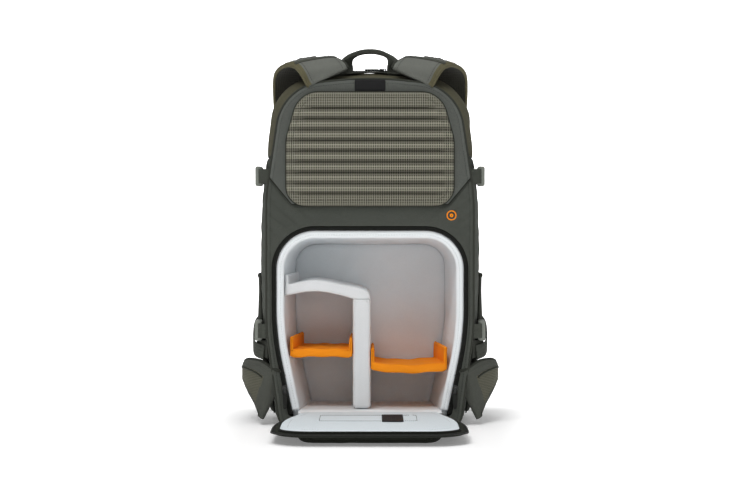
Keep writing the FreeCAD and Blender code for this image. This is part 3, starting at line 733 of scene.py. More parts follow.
def arch_path(inset, bottom, step=3.0):
    """The opening's edge without its sill, from the lower right foot over the top, as 2-D points."""
    loop = arch_loop(inset, bottom)
    side = loop[loop[:, 1] >= bottom + 4.5]
    foot = arch_points(inset, bottom)
    return evened(np.vstack([foot[0], side, foot[-1]]), step, closed=False)


def outward_2d(path):
    """The direction to the right of a 2-D path, which is outwards where it runs anticlockwise."""
    t = tangents(path)
    return np.stack([t[:, 1], -t[:, 0]], axis=1)


def ring_offset(ring, by):
    """A closed 2-D ring moved outwards."""
    return ring + outward_2d(np.vstack([ring[-1:], ring, ring[:1]]))[1:-1] * by


def wall_half(y, z):
    share = (y - COMP_FRONT_Y) / (COMP_REAR_Y - COMP_FRONT_Y)
    inset = RIM_IN + (COMP_REAR_INSET - RIM_IN) * max(share, 0.0)
    slope = (OPEN_HALF - SILL_HALF) / (OPEN_KNEE_Z - SILL_Z)
    return min(SILL_HALF + slope * (z - SILL_Z) - math.hypot(1.0, slope) * inset, OPEN_HALF - inset)


def pillow(thick, power=2.4, n=15, low=1.0):
    """A cushion's section: full in the middle, rounded to both edges. low scales the underside."""
    angle = np.arange(2 * n) * math.pi / n
    c, s = np.cos(angle), np.sin(angle)
    u = np.sign(c) * np.abs(c) ** (2 / power)
    h = np.sign(s) * np.abs(s) ** (2 / power) * thick / 2
    return np.stack([u, np.where(h < 0, h * low, h)], axis=1)


def arch_sweep(name, inset, bottom, half, profile, y, material, step=3.0, **where):
    path = arch_path(inset, bottom, step)
    out = outward_2d(path)
    return sweep(name, lifted(path, y), lifted(out, 0.0), (0, -1, 0), half, profile, material, **where)


def lifted(path, y):
    """A 2-D XZ path put in 3-D at depth y, which may be a number or one for each point."""
    return np.stack([path[:, 0], np.broadcast_to(y, len(path)), path[:, 1]], axis=1)


def bend(obj):
    """Cloth sewn to the bag, taken off its body with its placement baked into its points."""
    obj.parent = None
    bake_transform(obj)


def seam_z(x):
    """Height of the seam between the yoke and the lower back panel."""
    return 288 + np.clip(np.abs(x) - 102, 0, None) * 1.2


# ---------------------------------------------------------------- bag body
def back_place(u, v, h):
    return np.stack([u, YB - h, v], axis=1)


def back_panels():
    outline = evened(body_loop(), 2.0)
    start = int(np.argmin(outline[:, 1] + np.abs(outline[:, 0] - 1) * 0.01))
    outline = np.roll(outline, -start, axis=0)
    above = outline[:, 1] > seam_z(outline[:, 0]) + 0.4
    upper = np.vstack([outline[above], [[-102, 288.4], [102, 288.4]]])
    below = outline[:, 1] < seam_z(outline[:, 0]) - 0.4
    first = int(np.argmax(~below))
    lower = np.vstack([outline[:first], [[102, 287.6], [-102, 287.6]], outline[first:][below[first:]]])

    def upper_top(u, v, d):
        puff = 2.2 * soft_edge(d, 5.0) + 0.35 * ripple(u, v, 34, 3) * smoothstep(d, 1, 9)
        folds = crease(u, v, (-124, 330), (-104, 385), 4, 0.5) + crease(u, v, (125, 335), (105, 388), 4.5,
                                                                        0.5)
        return puff + folds

    def lower_top(u, v, d):
        puff = 1.9 * soft_edge(d, 5.0) + 0.45 * ripple(u, v, 26, 5) * smoothstep(d, 1, 7)
        for sign in (-1, 1):
            w = u * sign
            puff = puff + crease(w, v, (92, 262), (134, 300), 4.5, 1.3) + crease(w, v, (104, 258),
                                                                                 (136, 281), 4.0, 1.2)
            puff = puff + crease(w, v, (118, 246), (136, 262), 3.5, 0.9) + crease(w, v, (70, 266),
                                                                                  (120, 306), 5.0, 0.9)
            puff = puff + crease(w, v, (124, 215), (136, 236), 3.0, 0.7) + crease(w, v, (126, 160),
                                                                                  (135, 186), 3.0, 0.7)
        return puff

    for name, loops, top, mat in (("back_yoke", [upper], upper_top, M["upper"]),
                                  ("back_lower", [lower, arch_loop(0.0, SILL_Z)], lower_top, M["lower"])):
        node = "back_panel_upper" if name == "back_yoke" else "back_panel_lower"
        obj = quilt(name, loops, top, lambda u, v, d: 0 * d - 4.2, back_place, mat, step=3.0,
                    slot="upper_cloth" if name == "back_yoke" else "lower_cloth")
        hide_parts(node)
    side = outline[(outline[:, 1] > 3)]
    grown = side + outward_2d(side) * 0.6
    tube("piping_back", lifted(grown, YB + 1.2), 1.9, M["piping"], up=(0, 1, 0), slot="lower_cloth")
    stitches("piping_stitches", lifted(side - outward_2d(side) * 4.2, YB - 1.9), (0, -1, 0),
             M["thread_dark"], slot="lower_cloth")
    x = np.concatenate([np.linspace(-131, -102, 22), np.linspace(-100, 100, 60), np.linspace(102, 131, 22)])
    line = np.stack([x, seam_z(x)], axis=1)
    tube("yoke_seam", lifted(line, YB - 0.4), 0.8, M["binding"], up=(0, 1, 0), slot="lower_cloth")
    stitches("yoke_seam_thread", lifted(line - [0, 3.4], YB - 1.7), (0, -1, 0), M["thread_dark"],
             slot="lower_cloth")


def back_pad():
    corners = [(109, 286), (109, 372), (92, 434), (-92, 434), (-109, 372), (-109, 286)]
    loop = rounded(corners, [26, 60, 34, 34, 60, 26])

    def top(u, v, d):
        dome = 9.4 * soft_edge(d, 14.0)
        t = (v - RIB_FIRST_Z) / RIB_PITCH
        inside_ribs = (t > 0) & (t < RIB_COUNT)
        bump = np.where(inside_ribs, np.abs(np.sin(np.pi * t)) ** 0.85, 0.0)
        edge_groove = np.exp(-((t - 0) / 0.13) ** 2) + np.exp(-((t - RIB_COUNT) / 0.13) ** 2)
        end = smoothstep(d, 8.0, 14.0)
        smooth = np.where(inside_ribs, bump, 1.0 - np.clip(edge_groove, 0, 1))
        channel = -1.3 * np.exp(-((d - 7.5) / 1.5) ** 2)
        return dome + 6.0 * (smooth * end + (1 - end) * 0.62) + channel + 0.35 * ripple(u, v, 36, 8)

    obj = quilt("back_pad_mesh", [loop], top, lambda u, v, d: 0 * d + 0.1, back_place, M["mesh"], step=1.7,
                rings=(0.9, 2.2, 4.0, 6.0, 7.5, 9.0), slot="air_mesh")
    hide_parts("back_pad")
    # A dark tube in each groove between the ribs: painted shade in the groove.
    for k in range(RIB_COUNT + 1):
        z = RIB_FIRST_Z + RIB_PITCH * k
        xs = np.linspace(-104, 104, 261)
        row = np.stack([xs, np.full(len(xs), z)], axis=1)
        depth = edge_distance(row, [evened(loop, 1.5)])
        keep = inside(row, [loop]) & (depth > 12.0)
        row, depth = row[keep], depth[keep]
        high = top(row[:, 0], row[:, 1], depth)
        size = 0.2 + 0.85 * smoothstep(depth, 12.0, 19)
        tube(f"back_pad_groove_{k}", lifted(row, YB - high - 0.1), size, M["groove"], up=(0, 1, 0), sides=8,
             slot="air_mesh")
    ring = evened(loop, 3.0)
    tube("back_pad_binding", lifted(ring, YB - 2.4), 1.3, M["binding"], closed=True, up=(0, 1, 0),
         slot="webbing")
    inner = ring_offset(ring, -7.5)
    stitches("back_pad_thread", lifted(np.vstack([inner, inner[:1]]), YB - 11.6), (0, -1, 0),
             M["thread_dark"],
             pitch=3.6, slot="webbing")


def top_label():
    loop = rounded([(20, 435.5), (20, 450), (-20, 450), (-20, 435.5)], [1.2] * 4)
    obj = quilt("label_patch", [loop], lambda u, v, d: 2.5 + 0.5 * soft_edge(d, 0.9), lambda u, v,
                d: 0 * d + 0.5,
                back_place, M["label"], step=1.6, rings=(0.5, 1.1), slot="label_black")
    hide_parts("top_label")
    middle = np.array([0, 442.75])
    rim = middle + (evened(loop, 1.0) - middle) * [0.945, 0.86]
    stitches("label_thread", lifted(np.vstack([rim, rim[:1]]), YB - 3.0), (0, -1, 0), M["thread_dark"],
             pitch=2.0,
             length=1.3, width=0.35, lift=0.1, slot="label_black")


def emblem():
    """A plain orange ring with a dot on the lower panel beside the yoke seam."""
    centre, angle = np.array([106.0, 274.0]), np.linspace(0, 2 * math.pi, 49)[:-1]
    for radius, thick, name in ((5.8, 0.75, "emblem_ring"), (1.5, 0.9, "emblem_dot")):
        ring = centre + radius * np.stack([np.cos(angle), np.sin(angle)], axis=1)
        tube(name, lifted(ring, YB - 2.5), thick, M["emblem"], closed=True, up=(0, 1, 0), flat=0.55,
             slot="divider_orange")


def shell_grid(test, ys, seed, puff, wrinkle, base_step=3.0, belly=0.0):
    """A grid of the shell's surface for outline points that pass the test, softened and wrinkled."""
    base = body_loop(YB + 80)
    keep = test(base)
    start = int(np.argmax(keep & ~np.roll(keep, 1)))
    order = np.roll(np.arange(len(base)), -start)
    order = order[keep[order]]
    path = base[order]
    way = arc_length(path)
    at = np.linspace(0, way[-1], int(way[-1] / base_step) + 1)
    rows = []
    for y in ys:
        loop = body_loop(y)[order]
        loop = np.stack([np.interp(at, way, loop[:, k]) for k in range(2)], axis=1)
        out = outward_2d(loop)
        edge_y = min(y - ys[0], ys[-1] - y)
        d = np.minimum(np.minimum(at, way[-1] - at), edge_y)
        lift = puff * soft_edge(d, 12) + wrinkle * ripple(at, np.full_like(at, y), 30,
                                                          seed) * smoothstep(d, 0, 10)
        lift = lift + belly * np.exp(-((loop[:, 1] - 225) / 75) ** 2) * float(soft_edge(np.array(edge_y),
                                                                                        30))
        loop = loop + out * lift[:, None]
        rows.append(np.stack([loop[:, 0], np.full(len(loop), y), loop[:, 1]], axis=1))
    return np.array(rows)


def shell():
    ys = np.linspace(YB + 1.5, YF - 2.0, 58)
    top = shell_grid(lambda p: p[:, 1] > GUSSET_SPLIT_Z, ys, 11, 1.0, 0.7)
    obj = thick_grid("top_gusset_cloth", top, 3.0, M["olive"], (0, 0, 600), slot="olive_cloth")
    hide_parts("top_gusset")
    for name, sign in SIDES:
        test = lambda p: (p[:, 1] <= GUSSET_SPLIT_Z) & (p[:, 1] > 5) & (p[:, 0] * sign > 90)
        side = shell_grid(test, ys, 21 + sign, 1.2, 0.7, belly=SIDE_BELLY)
        obj = thick_grid(f"side_cloth_{name}", side, 3.0, M["lower"], (sign * 400, 0, 150),
                         slot="lower_cloth")
        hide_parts(f"side_panel_{name}")
        half = seam_half(GUSSET_SPLIT_Z) + np.polyval(SIDE_CURVE, ys) + 0.6
        cross = np.stack([sign * half, ys, np.full(len(ys), GUSSET_SPLIT_Z)], axis=1)
        tube(f"gusset_piping_{name}", cross, 1.7, M["piping"], slot="lower_cloth")
    outline = evened(body_loop(YF - 2), 3.0)
    start = int(np.argmin(outline[:, 1] + np.abs(outline[:, 0] - 1) * 0.01))
    outline = np.roll(outline, -start, axis=0)
    tube("piping_front", lifted(outline[outline[:, 1] > 3], YF - 1.5), 2.0, M["piping"], up=(0, 1, 0),
         slot="lower_cloth")
    base = rounded([(113, YB + 3), (113, YF - 3), (-113, YF - 3), (-113, YB + 3)], [8, 16, 16, 8])
    obj = quilt("base_cloth", [base], lambda u, v, d: 0.2 + 0 * d, lambda u, v, d: 5.0 + 0 * d,
                lambda u, v, h: np.stack([u, v, h], axis=1), M["lower"], step=7.0, slot="lower_cloth")
    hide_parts("base_panel")


def front_side():
    outline = evened(body_loop(YF - 4), 3.0)

    def top(u, v, d):
        return 2.6 + 2.0 * soft_edge(d, 12) + 0.6 * ripple(u, v, 40, 31) * smoothstep(d, 1, 12)

    place = lambda u, v, h: np.stack([u, YF - 4 + h, v], axis=1)
    obj = quilt("front_cloth", [outline], top, lambda u, v, d: 0 * d, place, M["lower"], step=5.0,
                slot="lower_cloth")
    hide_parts("front_panel")
    corners = [(104, 26), (112, 130), (110, 338)]
    loop = rounded(both_halves(corners), [26, 200, 34, 34, 200, 26], 12, 12)

    def pocket_top(u, v, d):
        box_edge = 24.5 * soft_edge(d, 16) ** 0.8
        panel_seam = -1.6 * np.exp(-((d - 20) / 1.6) ** 2)
        slump = 2.2 * np.exp(-((v - 70) / 60) ** 2) * smoothstep(d, 14, 50)
        zip_bed = -1.5 * np.exp(-((v - 262) / 9.0) ** 4) * (np.abs(u) < 66)
        return box_edge + panel_seam + slump + zip_bed + 1.1 * ripple(u, v, 46, 33) * smoothstep(d, 6, 30)

    place = lambda u, v, h: np.stack([u, YF + h, v], axis=1)
    obj = quilt("front_pocket_cloth", [loop], pocket_top, lambda u, v, d: 0 * d, place, M["upper"],
                step=4.0,
                rings=(0.8, 2.0, 3.8, 6.5, 10.0), slot="upper_cloth")
    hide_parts("front_pocket")
    seam_loop = [evened(loop, 4.0)]

    def held(x, y, z):
        beside_piping = abs(float(edge_distance(np.array([[x, z]]), seam_loop)[0]) - 20) < 4
        return y < YF + 3 or beside_piping or (abs(x) < 74 and 220 < z < 284)

    swelled(obj, 3.5, 4.0, held)
    ring = evened(loop, 3.0)
    inner = ring_offset(ring, -20)
    tube("front_pocket_piping", lifted(inner, YF + 23.8), 1.5, M["piping"], closed=True, up=(0, 1, 0),
         slot="lower_cloth")
    y = YF + 28.3
    for sign in (-1, 1):
        line = np.array([(x, y, 262 + sign * 4.4) for x in np.linspace(-60, 60, 60)])
        stitches(f"front_zip_thread_{'low' if sign < 0 else 'high'}", line, (0, 1, 0), M["thread_dark"],
                 slot="zip_tape")
    teeth = np.array([(x, YF + 29.1, 262) for x in np.linspace(-60, 60, 90)])
    stitches("front_zip_teeth", teeth, (0, 1, 0), M["coil"], pitch=1.5, length=1.2, width=3.2, lift=0.1,
             slot="zip_tape")


def side_pockets():
    rear, front, top_z, low_z = YB + 68, YF - 16, 196.0, 10.0
    for name, sign in SIDES:
        ys = np.linspace(rear, front, 34)
        zs = np.linspace(low_z, top_z, 62)
        grid = []
        for y in ys:
            edge = min(y - rear, front - y)
            row = []
            for z in zs:
                base = seam_half(z) + np.polyval(SIDE_CURVE, y) + 1.9
                near_front = float(soft_edge(np.array(YF - 2 - y), 30))
                base += SIDE_BELLY * math.exp(-((z - 225) / 75) ** 2) * near_front
                hug = 1 - 0.62 * float(smoothstep(np.array(z), 120, 192))
                lift = 1.2 + 6.2 * hug * float(soft_edge(np.array(edge),
                                                         10)) * float(soft_edge(np.array(z - low_z), 14))
                gather = 0.55 * math.sin(y * 0.42) * float(smoothstep(np.array(z), top_z - 26, top_z - 8))
                row.append((sign * (base + lift + gather), y, z))
            grid.append(row)
        obj = thick_grid(f"side_pocket_cloth_{name}", np.array(grid), 1.2, M["side_mesh"],
                         (sign * 400, 0, 100), slot="stretch_mesh")
        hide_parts(f"side_pocket_{name}")
        hem = np.array([r[-1] for r in grid])
        tube(f"side_pocket_hem_{name}", hem - [0, 0, 2.5], 2.6, M["binding"], flat=0.4, up=(sign, 0, 0),
             slot="webbing")
        for k, column in ((0, "rear"), (-1, "front")):
            edge_line = np.array(grid)[k]
            tube(f"side_pocket_edge_{column}_{name}", edge_line, 1.6, M["binding"], up=(sign, 0, 0),
                 flat=0.6, slot="webbing")


# ---------------------------------------------------------------- opening, compartment and dividers
def opening():
    tape = np.array([(-1, 0.1), (-1, 1.1), (1, 1.1), (1, 0.1)])
    obj = arch_sweep("body_tape", 2.95, SILL_Z + 2, 3.0, lambda t: tape, YB + 1.7, M["tape"],
                     slot="zip_tape")
    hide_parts("body_zip_tape")
    path = arch_path(4.9, SILL_Z + 3, 1.5)
    stitches("body_zip_teeth", lifted(path, YB + 0.4), (0, -1, 0), M["coil"], pitch=1.5, length=1.15,
             width=2.6, lift=0.0,
             slot="zip_tape")
    loop = pillow(9.4, 2.6, 18)
    dent = 1.1 * np.exp(-((loop[:, 0] + 0.15) / 0.16) ** 2) * (loop[:, 1] > 0)
    loop[:, 1] -= dent
    obj = arch_sweep("rim_lining", 10.0, FLOOR_Z, 6.0, lambda t: loop, YB + 6.8, M["lining"], step=2.5,
                     slot="lining_foam")
    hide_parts("lining_rim")
    seam = arch_path(11.6, FLOOR_Z + 2, 2.0)
    stitches("rim_thread", lifted(seam, YB + 2.9), (0, -1, 0), M["thread_light"], pitch=3.4, lift=0.0,
             slot="lining_foam")


def compartment():
    ys = np.linspace(COMP_FRONT_Y - 4, COMP_REAR_Y, 22)
    grid = []
    for y in ys:
        share = max((y - COMP_FRONT_Y) / (COMP_REAR_Y - COMP_FRONT_Y), 0)
        inset = RIM_IN + (COMP_REAR_INSET - RIM_IN) * share
        path = arch_path(inset, FLOOR_Z - 6, 2.0)
        way = np.linspace(0, 1, 210)
        path = np.stack([np.interp(way, np.linspace(0, 1, len(path)), path[:, k]) for k in range(2)],
                        axis=1)
        out = outward_2d(path)
        soft = 0.5 * ripple(way * 600, np.full(210, y), 55, 41)
        path = path + out * (soft[:, None] + 0.8)
        grid.append(lifted(path, y))
    obj = thick_grid("compartment_lining", np.array(grid), 8.0, M["lining_inner"], (0, 0, -2000),
                     slot="lining_foam")
    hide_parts("compartment_ceiling", "compartment_wall_left", "compartment_wall_right")
    y0, y1 = YB + 9.5, COMP_REAR_Y
    low0, low1 = wall_half(COMP_FRONT_Y, FLOOR_Z) + 1.5, wall_half(y1, FLOOR_Z) + 1.5
    loop = np.array([(low0, y0), (low1, y1), (-low1, y1), (-low0, y0)], float)
    floor_place = lambda u, v, h: np.stack([u, v, h], axis=1)
    obj = quilt("compartment_floor_lining", [loop], lambda u, v, d: 18.8 + 1.1 * soft_edge(d, 5), lambda u,
                v, d: 5.0 + 0 * d,
                floor_place, M["lining_inner"], step=5.0, slot="lining_foam")
    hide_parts("compartment_floor")
    back = arch_loop(COMP_REAR_INSET - 2, FLOOR_Z - 3)
    seams = lambda u, v, d: 0.9 * ripple(u, v, 70, 43) + 2.4 * soft_edge(d, 8) - 1.5
    obj = quilt("compartment_back_lining", [back], seams, lambda u, v, d: -5.0 + 0 * d,
                lambda u, v, h: np.stack([u, COMP_REAR_Y - h, v], axis=1), M["lining_inner"], step=5.0,
                slot="lining_foam")
    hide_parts("compartment_back")


def padded_bar(name, outline, material, body, node, y0=YB + 13.5, y1=YB + 128, rows=44, soft=2.6, **where):
    """A padded divider: an XZ outline for each depth, with rolled ends and a soft surface."""
    ys = np.concatenate([[y0, y0 + 0.35, y0 + 1.0, y0 + 2.0], np.linspace(y0 + 3.2, y1 - 3.2, rows),
                         [y1 - 2.0, y1 - 1.0, y1 - 0.35, y1]])
    grid = []
    for y in ys:
        base = outline(y)
        count = len(grid[0]) if grid else len(evened(base, 1.6))
        closed = np.vstack([base, base[:1]])
        way = arc_length(closed)
        at = np.linspace(0, way[-1], count + 1)[:-1]
        flat = np.stack([np.interp(at, way, closed[:, k]) for k in range(2)], axis=1)
        d = min(y - y0, y1 - y)
        inset = soft * (1 - float(soft_edge(np.array(d), soft * 1.3)))
        wave = 0.35 * ripple(at, np.full(count, y), 24, len(name))
        flat = ring_offset(flat, (wave * min(d / 6, 1) - inset)[:, None])
        grid.append(lifted(flat, y))
    grid = np.array(grid)
    sides = grid.shape[1]
    faces = grid_faces(len(ys), sides, wrap=True)
    for row, flip in ((0, False), (len(ys) - 1, True)):
        flat = grid[row][:, [0, 2]]
        found = geometry.delaunay_2d_cdt([Vector(p) for p in flat],
                                         [(i, (i + 1) % sides) for i in range(sides)], [], 1, 1e-4)
        for tri in found[2]:
            faces.append(tuple(row * sides + k for k in (tri[::-1] if flip else tri)))
    obj = make_mesh(name, grid.reshape(-1, 3), faces, material, body=body, **where)
    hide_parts(node)
    return obj


TALL_L, TALL_R = -22.5, 0.5


def bar_outline(a, b, z, tabs, sag, thick=11.0):
    """A divider bar from a to b at height z, with upright tabs at its ends and a wavy, sagging top."""
    h = thick / 2
    x = np.linspace(a + 4.2, b - 4.2, 40)
    t = (x - a) / (b - a)
    wave = -sag * np.sin(np.pi * t) + 0.5 * np.sin(t * 17 + a)
    top = np.stack([x, z + h + wave], axis=1)
    low = np.stack([x, z - h + wave], axis=1)
    left = np.array([(a, z - h + 2), (a, z + h + tabs[0] - 2), (a + 1.8, z + h + tabs[0]),
                     (a + 4.0, z + h + tabs[0] - 2.2),
                     (a + 4.6, z + h + 3)])
    right = np.array([(b - 4.6, z + h + 3), (b - 4.0, z + h + tabs[1] - 2.2), (b - 1.8, z + h + tabs[1]),
                      (b, z + h + tabs[1] - 2), (b, z - h + 2)])
    loop = np.vstack([low, right[::-1], top[::-1], left[::-1]])
    return evened(loop, 1.2)


def dividers():
    tall = lambda y: rounded([(TALL_L, 20.6), (TALL_R, 20.6), (TALL_R, 165), (TALL_L, 165)], [5, 5, 3, 3])
    padded_bar("tall_divider", tall, M["divider"], "divider_tall", "divider_tall", soft=4.5,
               slot="divider_grey")

    def arched(y):
        left = -wall_half(y, 175) + 0.6
        top = smooth_path([(left + 5, 183.5), (-88, 187.6), (-68, 189.4), (-42, 184.8), (-18, 180.0),
                           (-7, 176.6), (-1.6, 171.8),
                           (TALL_R, 165.4)], 6)
        low = smooth_path([(TALL_R - 1.5, 164.4), (TALL_L + 2, 164.5), (-44, 170.5), (-68, 174.5),
                           (-90, 172.8), (left, 168.5)], 6)
        tab = np.array([(left, 195), (left + 2.2, 197), (left + 4.6, 195), (left + 4.9, 186)])
        return evened(np.vstack([tab, top, low]), 1.2)[::-1]

    padded_bar("arched_divider", arched, M["divider"], "divider_arched", "divider_arched",
               slot="divider_grey")
    orange_left = lambda y: bar_outline(-wall_half(y, 86) + 0.6, TALL_L - 0.8, 93.0, (17, 15), -1.0)
    orange_right = lambda y: bar_outline(TALL_R + 0.8, wall_half(y, 68) - 0.6, 76.0, (19, 21), 3.5)
    padded_bar("orange_divider_left", orange_left, M["orange"], "divider_orange_left",
               "divider_orange_left", slot="divider_orange")
    padded_bar("orange_divider_right", orange_right, M["orange"], "divider_orange_right",
               "divider_orange_right", slot="divider_orange")


# ---------------------------------------------------------------- rear flap, lying open
def open_place(u, v, h):
    """The closed flap's (x, height, depth in from the hinge plane) laid open on the floor."""
    return np.stack([u, HINGE_Y - (v - HINGE_Z), HINGE_Z + h], axis=1)


def laid(path, height):
    """A 2-D path of the closed flap laid open at one height."""
    return open_place(path[:, 0], path[:, 1], np.full(len(path), height))


def flap():
    body = "rear_flap"
    shell_loop = arch_loop(FLAP_INSET + 0.5, FLAP_BOTTOM - 6)
    obj = quilt("flap_cloth", [shell_loop], lambda u, v, d: 4.2 + 0 * d, lambda u, v,
                d: -0.6 + 1.6 * (1 - soft_edge(d, 5)) + 0 * v,
                open_place, M["tape_cloth"], step=5.0, body=body, slot="lower_cloth")
    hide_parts("flap_panel")
    path = arch_path(10.6, FLAP_BOTTOM, 3.0)
    out = outward_2d(path)
    lip = np.array([(-1, 0.3), (-1, 1.3), (1, 0.3), (1, -0.7)])
    across = np.stack([out[:, 0], -out[:, 1], np.zeros(len(path))], axis=1)
    obj = sweep("flap_tape", laid(path, 2.6), across, (0, 0, 1), 3.1, lambda t: lip,
                M["tape"], body=body, slot="zip_tape")
    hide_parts("flap_zip_tape")
    edge = arch_path(8.4, FLAP_BOTTOM, 1.5)
    stitches("flap_zip_teeth", laid(edge, 2.6), (0, 0, 1), M["coil"], pitch=1.5,
             length=1.15, width=2.2, lift=0.1, body=body, slot="zip_tape")
    lining = arch_loop(18.4, FLAP_BOTTOM + 2)

    def light_top(u, v, d):
        quilting = 0.3 * ripple(u, v, 48, 53) * smoothstep(d, 3, 14) - 0.7 * np.exp(-((d - 8) / 1.3) ** 2)
        return 5.0 + 3.9 * soft_edge(d, 5) + quilting

    obj = quilt("flap_light", [lining], light_top, lambda u, v, d: 4.0 + 0 * d, open_place, M["flap_light"],
                step=3.4,
                rings=(0.8, 2.0, 3.8, 6.0, 9.0), body=body, slot="flap_cloth_light")
    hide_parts("flap_lining")
    seam = arch_path(28.5, FLAP_BOTTOM + 6, 2.5)
    stitches("flap_light_thread", laid(seam, 8.3), (0, 0, 1), M["thread_light"],
             body=body, slot="flap_cloth_light")
    ring = arch_path(18.5, FLAP_BOTTOM + 2, 3.0)
    tube("flap_binding", laid(ring, 5.2), 1.9, M["tape"], body=body, slot="webbing")
    pocket = rounded([(62, 70), (62, 148), (-66, 148), (-66, 70)], [5] * 4)
    obj = quilt("flap_pocket_patch", [pocket], lambda u, v,
                d: 9.0 + 0.6 * soft_edge(d, 2.5) + 0.25 * ripple(u, v, 30, 57) * smoothstep(d, 1, 8),
                lambda u, v, d: 8.4 + 0 * d, open_place, M["flap_light"], step=3.5, rings=(0.6, 1.5, 2.6),
                body=body, slot="flap_cloth_light")
    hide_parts("flap_pocket")
    middle = np.array([-2.0, 109.0])
    rim = middle + (evened(pocket, 2.0) - middle) * [0.95, 0.92]
    stitches("flap_pocket_thread", laid(rim, 9.7), (0, 0, 1), M["thread_dark"],
             pitch=2.6, body=body, slot="flap_cloth_light")
    tag = rounded([(42, 64), (42, 150), (15, 150), (15, 64)], [1.2] * 4)
    quilt("flap_tag", [tag], lambda u, v, d: 9.8 + 0.4 * soft_edge(d, 1.0), lambda u, v, d: 9.2 + 0 * d,
          open_place, M["label"],
          step=2.5, rings=(0.6,), body=body, slot="label_black")
    corners = [(74, 30), (88, 118), (88, 228)]
    lumbar = rounded(both_halves(corners), [18, 60, 24, 24, 60, 18])
    obj = quilt("lumbar_cushion", [lumbar], lambda u, v, d: 0 * d - 0.5, lambda u, v,
                d: -0.9 - 8.9 * soft_edge(d, 11) + 0.3 * (1 + ripple(u, v, 30, 59)),
                open_place, M["mesh_dark"], step=4.0, rings=(0.9, 2.2, 4.5, 7.0), body=body,
                slot="air_mesh")
    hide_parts("lumbar_pad")


def flap_fold():
    """The cloth hinge along the sill, between the bag's floor and the flap."""
    width = arch_points(FLAP_INSET, FLAP_BOTTOM)[0][0]
    xs = np.linspace(-width, width, 60)
    profile = [(YB + 9.5, 19.6), (YB + 6, 20.0), (YB + 2.5, 19.4), (YB - 1.5, 18.0), (YB - 5, 17.3),
               (YB - 9, 17.4), (YB - 13, 18.0)]
    profile = smooth_path(profile, 5)
    grid = np.array([[(x, y, z + 0.35 * math.sin(x * 0.09) * math.sin((y - YB) * 0.3)) for y,
                      z in profile] for x in xs])
    obj = thick_grid("flap_fold", grid, 1.6, M["lining"], (0, -100, 500), slot="lining_foam")
    bend(obj)
    xs = np.linspace(-SILL_HALF + 1, SILL_HALF - 1, 60)
    outer = smooth_path([(YB - 2.0, 5.0), (YB - 1.9, 8.2), (YB - 2.6, 10.4), (YB - 5.0, 10.8),
                         (YB - 9, 10.3)], 5)
    grid = np.array([[(x, y, z) for y, z in outer] for x in xs])
    obj = thick_grid("flap_fold_outer", grid, 1.4, M["lower"], (0, -400, 100), slot="lower_cloth")
    bend(obj)


# ---------------------------------------------------------------- harness
STRAP = [
    ((-54, YB + 4, 453), (1, 0.0, 0.06), (0, -1, 0.2), 58),
    ((-61, YB + 11, 464), (1, 0.12, 0.12), (0, -0.75, 0.65), 60),
    ((-69, YB + 28, 472.5), (1, 0.25, 0.16), (0, -0.3, 1), 61),
    ((-80, YB + 60, 477), (1, 0.28, 0.16), (0, 0, 1), 62),
    ((-92, YB + 110, 475), (1, 0.22, 0.14), (0, 0.12, 1), 63),
    ((-99, YB + 150, 467), (1, 0.15, 0.12), (0, 0.4, 1), 64),
    ((-101, YB + 178, 448), (1, 0.08, 0.08), (0, 0.9, 0.6), 64),
    ((-101, YB + 193, 415), (1, 0, 0), (0, 1, 0.2), 62),
    ((-99, YB + 204, 360), (1, 0, 0), (0, 1, 0.12), 60),
    ((-95, YB + 210, 300), (1, 0, 0), (0, 1, 0.03), 56),
    ((-91, YB + 211, 245), (1, 0, 0), (0, 1, 0), 50),
    ((-88, YB + 211, 205), (1, 0, 0), (0, 1, 0), 36),
]
STRAP_WEB = [
    ((-139, YB + 16, 94), (0.1, 0, 1), (0.9, 0.4, 0)), ((-152, YB + 42, 98), (0, 0, 1), (1, 0.2, 0)),
    ((-156.5, YB + 90, 108), (0, 0, 1), (1, 0, 0)), ((-156, YB + 150, 122), (0, 0.1, 1), (1, 0.15, 0)),
    ((-141, YB + 192, 133), (-0.2, 0.1, 1), (0.7, 0.7, 0)),
    ((-114, YB + 208, 142), (-0.6, 0, 0.8), (0, 1, 0)),
    ((-94, YB + 211, 157), (-0.95, 0, 0.3), (0, 1, 0)), ((-88, YB + 211, 173), (-1, 0, 0), (0, 1, 0)),
]


def turned(stations, sign):
    """Stations drawn for the -X side, or mirrored to the +X side."""
    flip = np.array([1, 1, 1] if sign < 0 else [-1, 1, 1])
    return [(np.array(c) * flip, np.array(w) * flip, np.array(n) * flip, width)
            for c, w, n, width in stations]


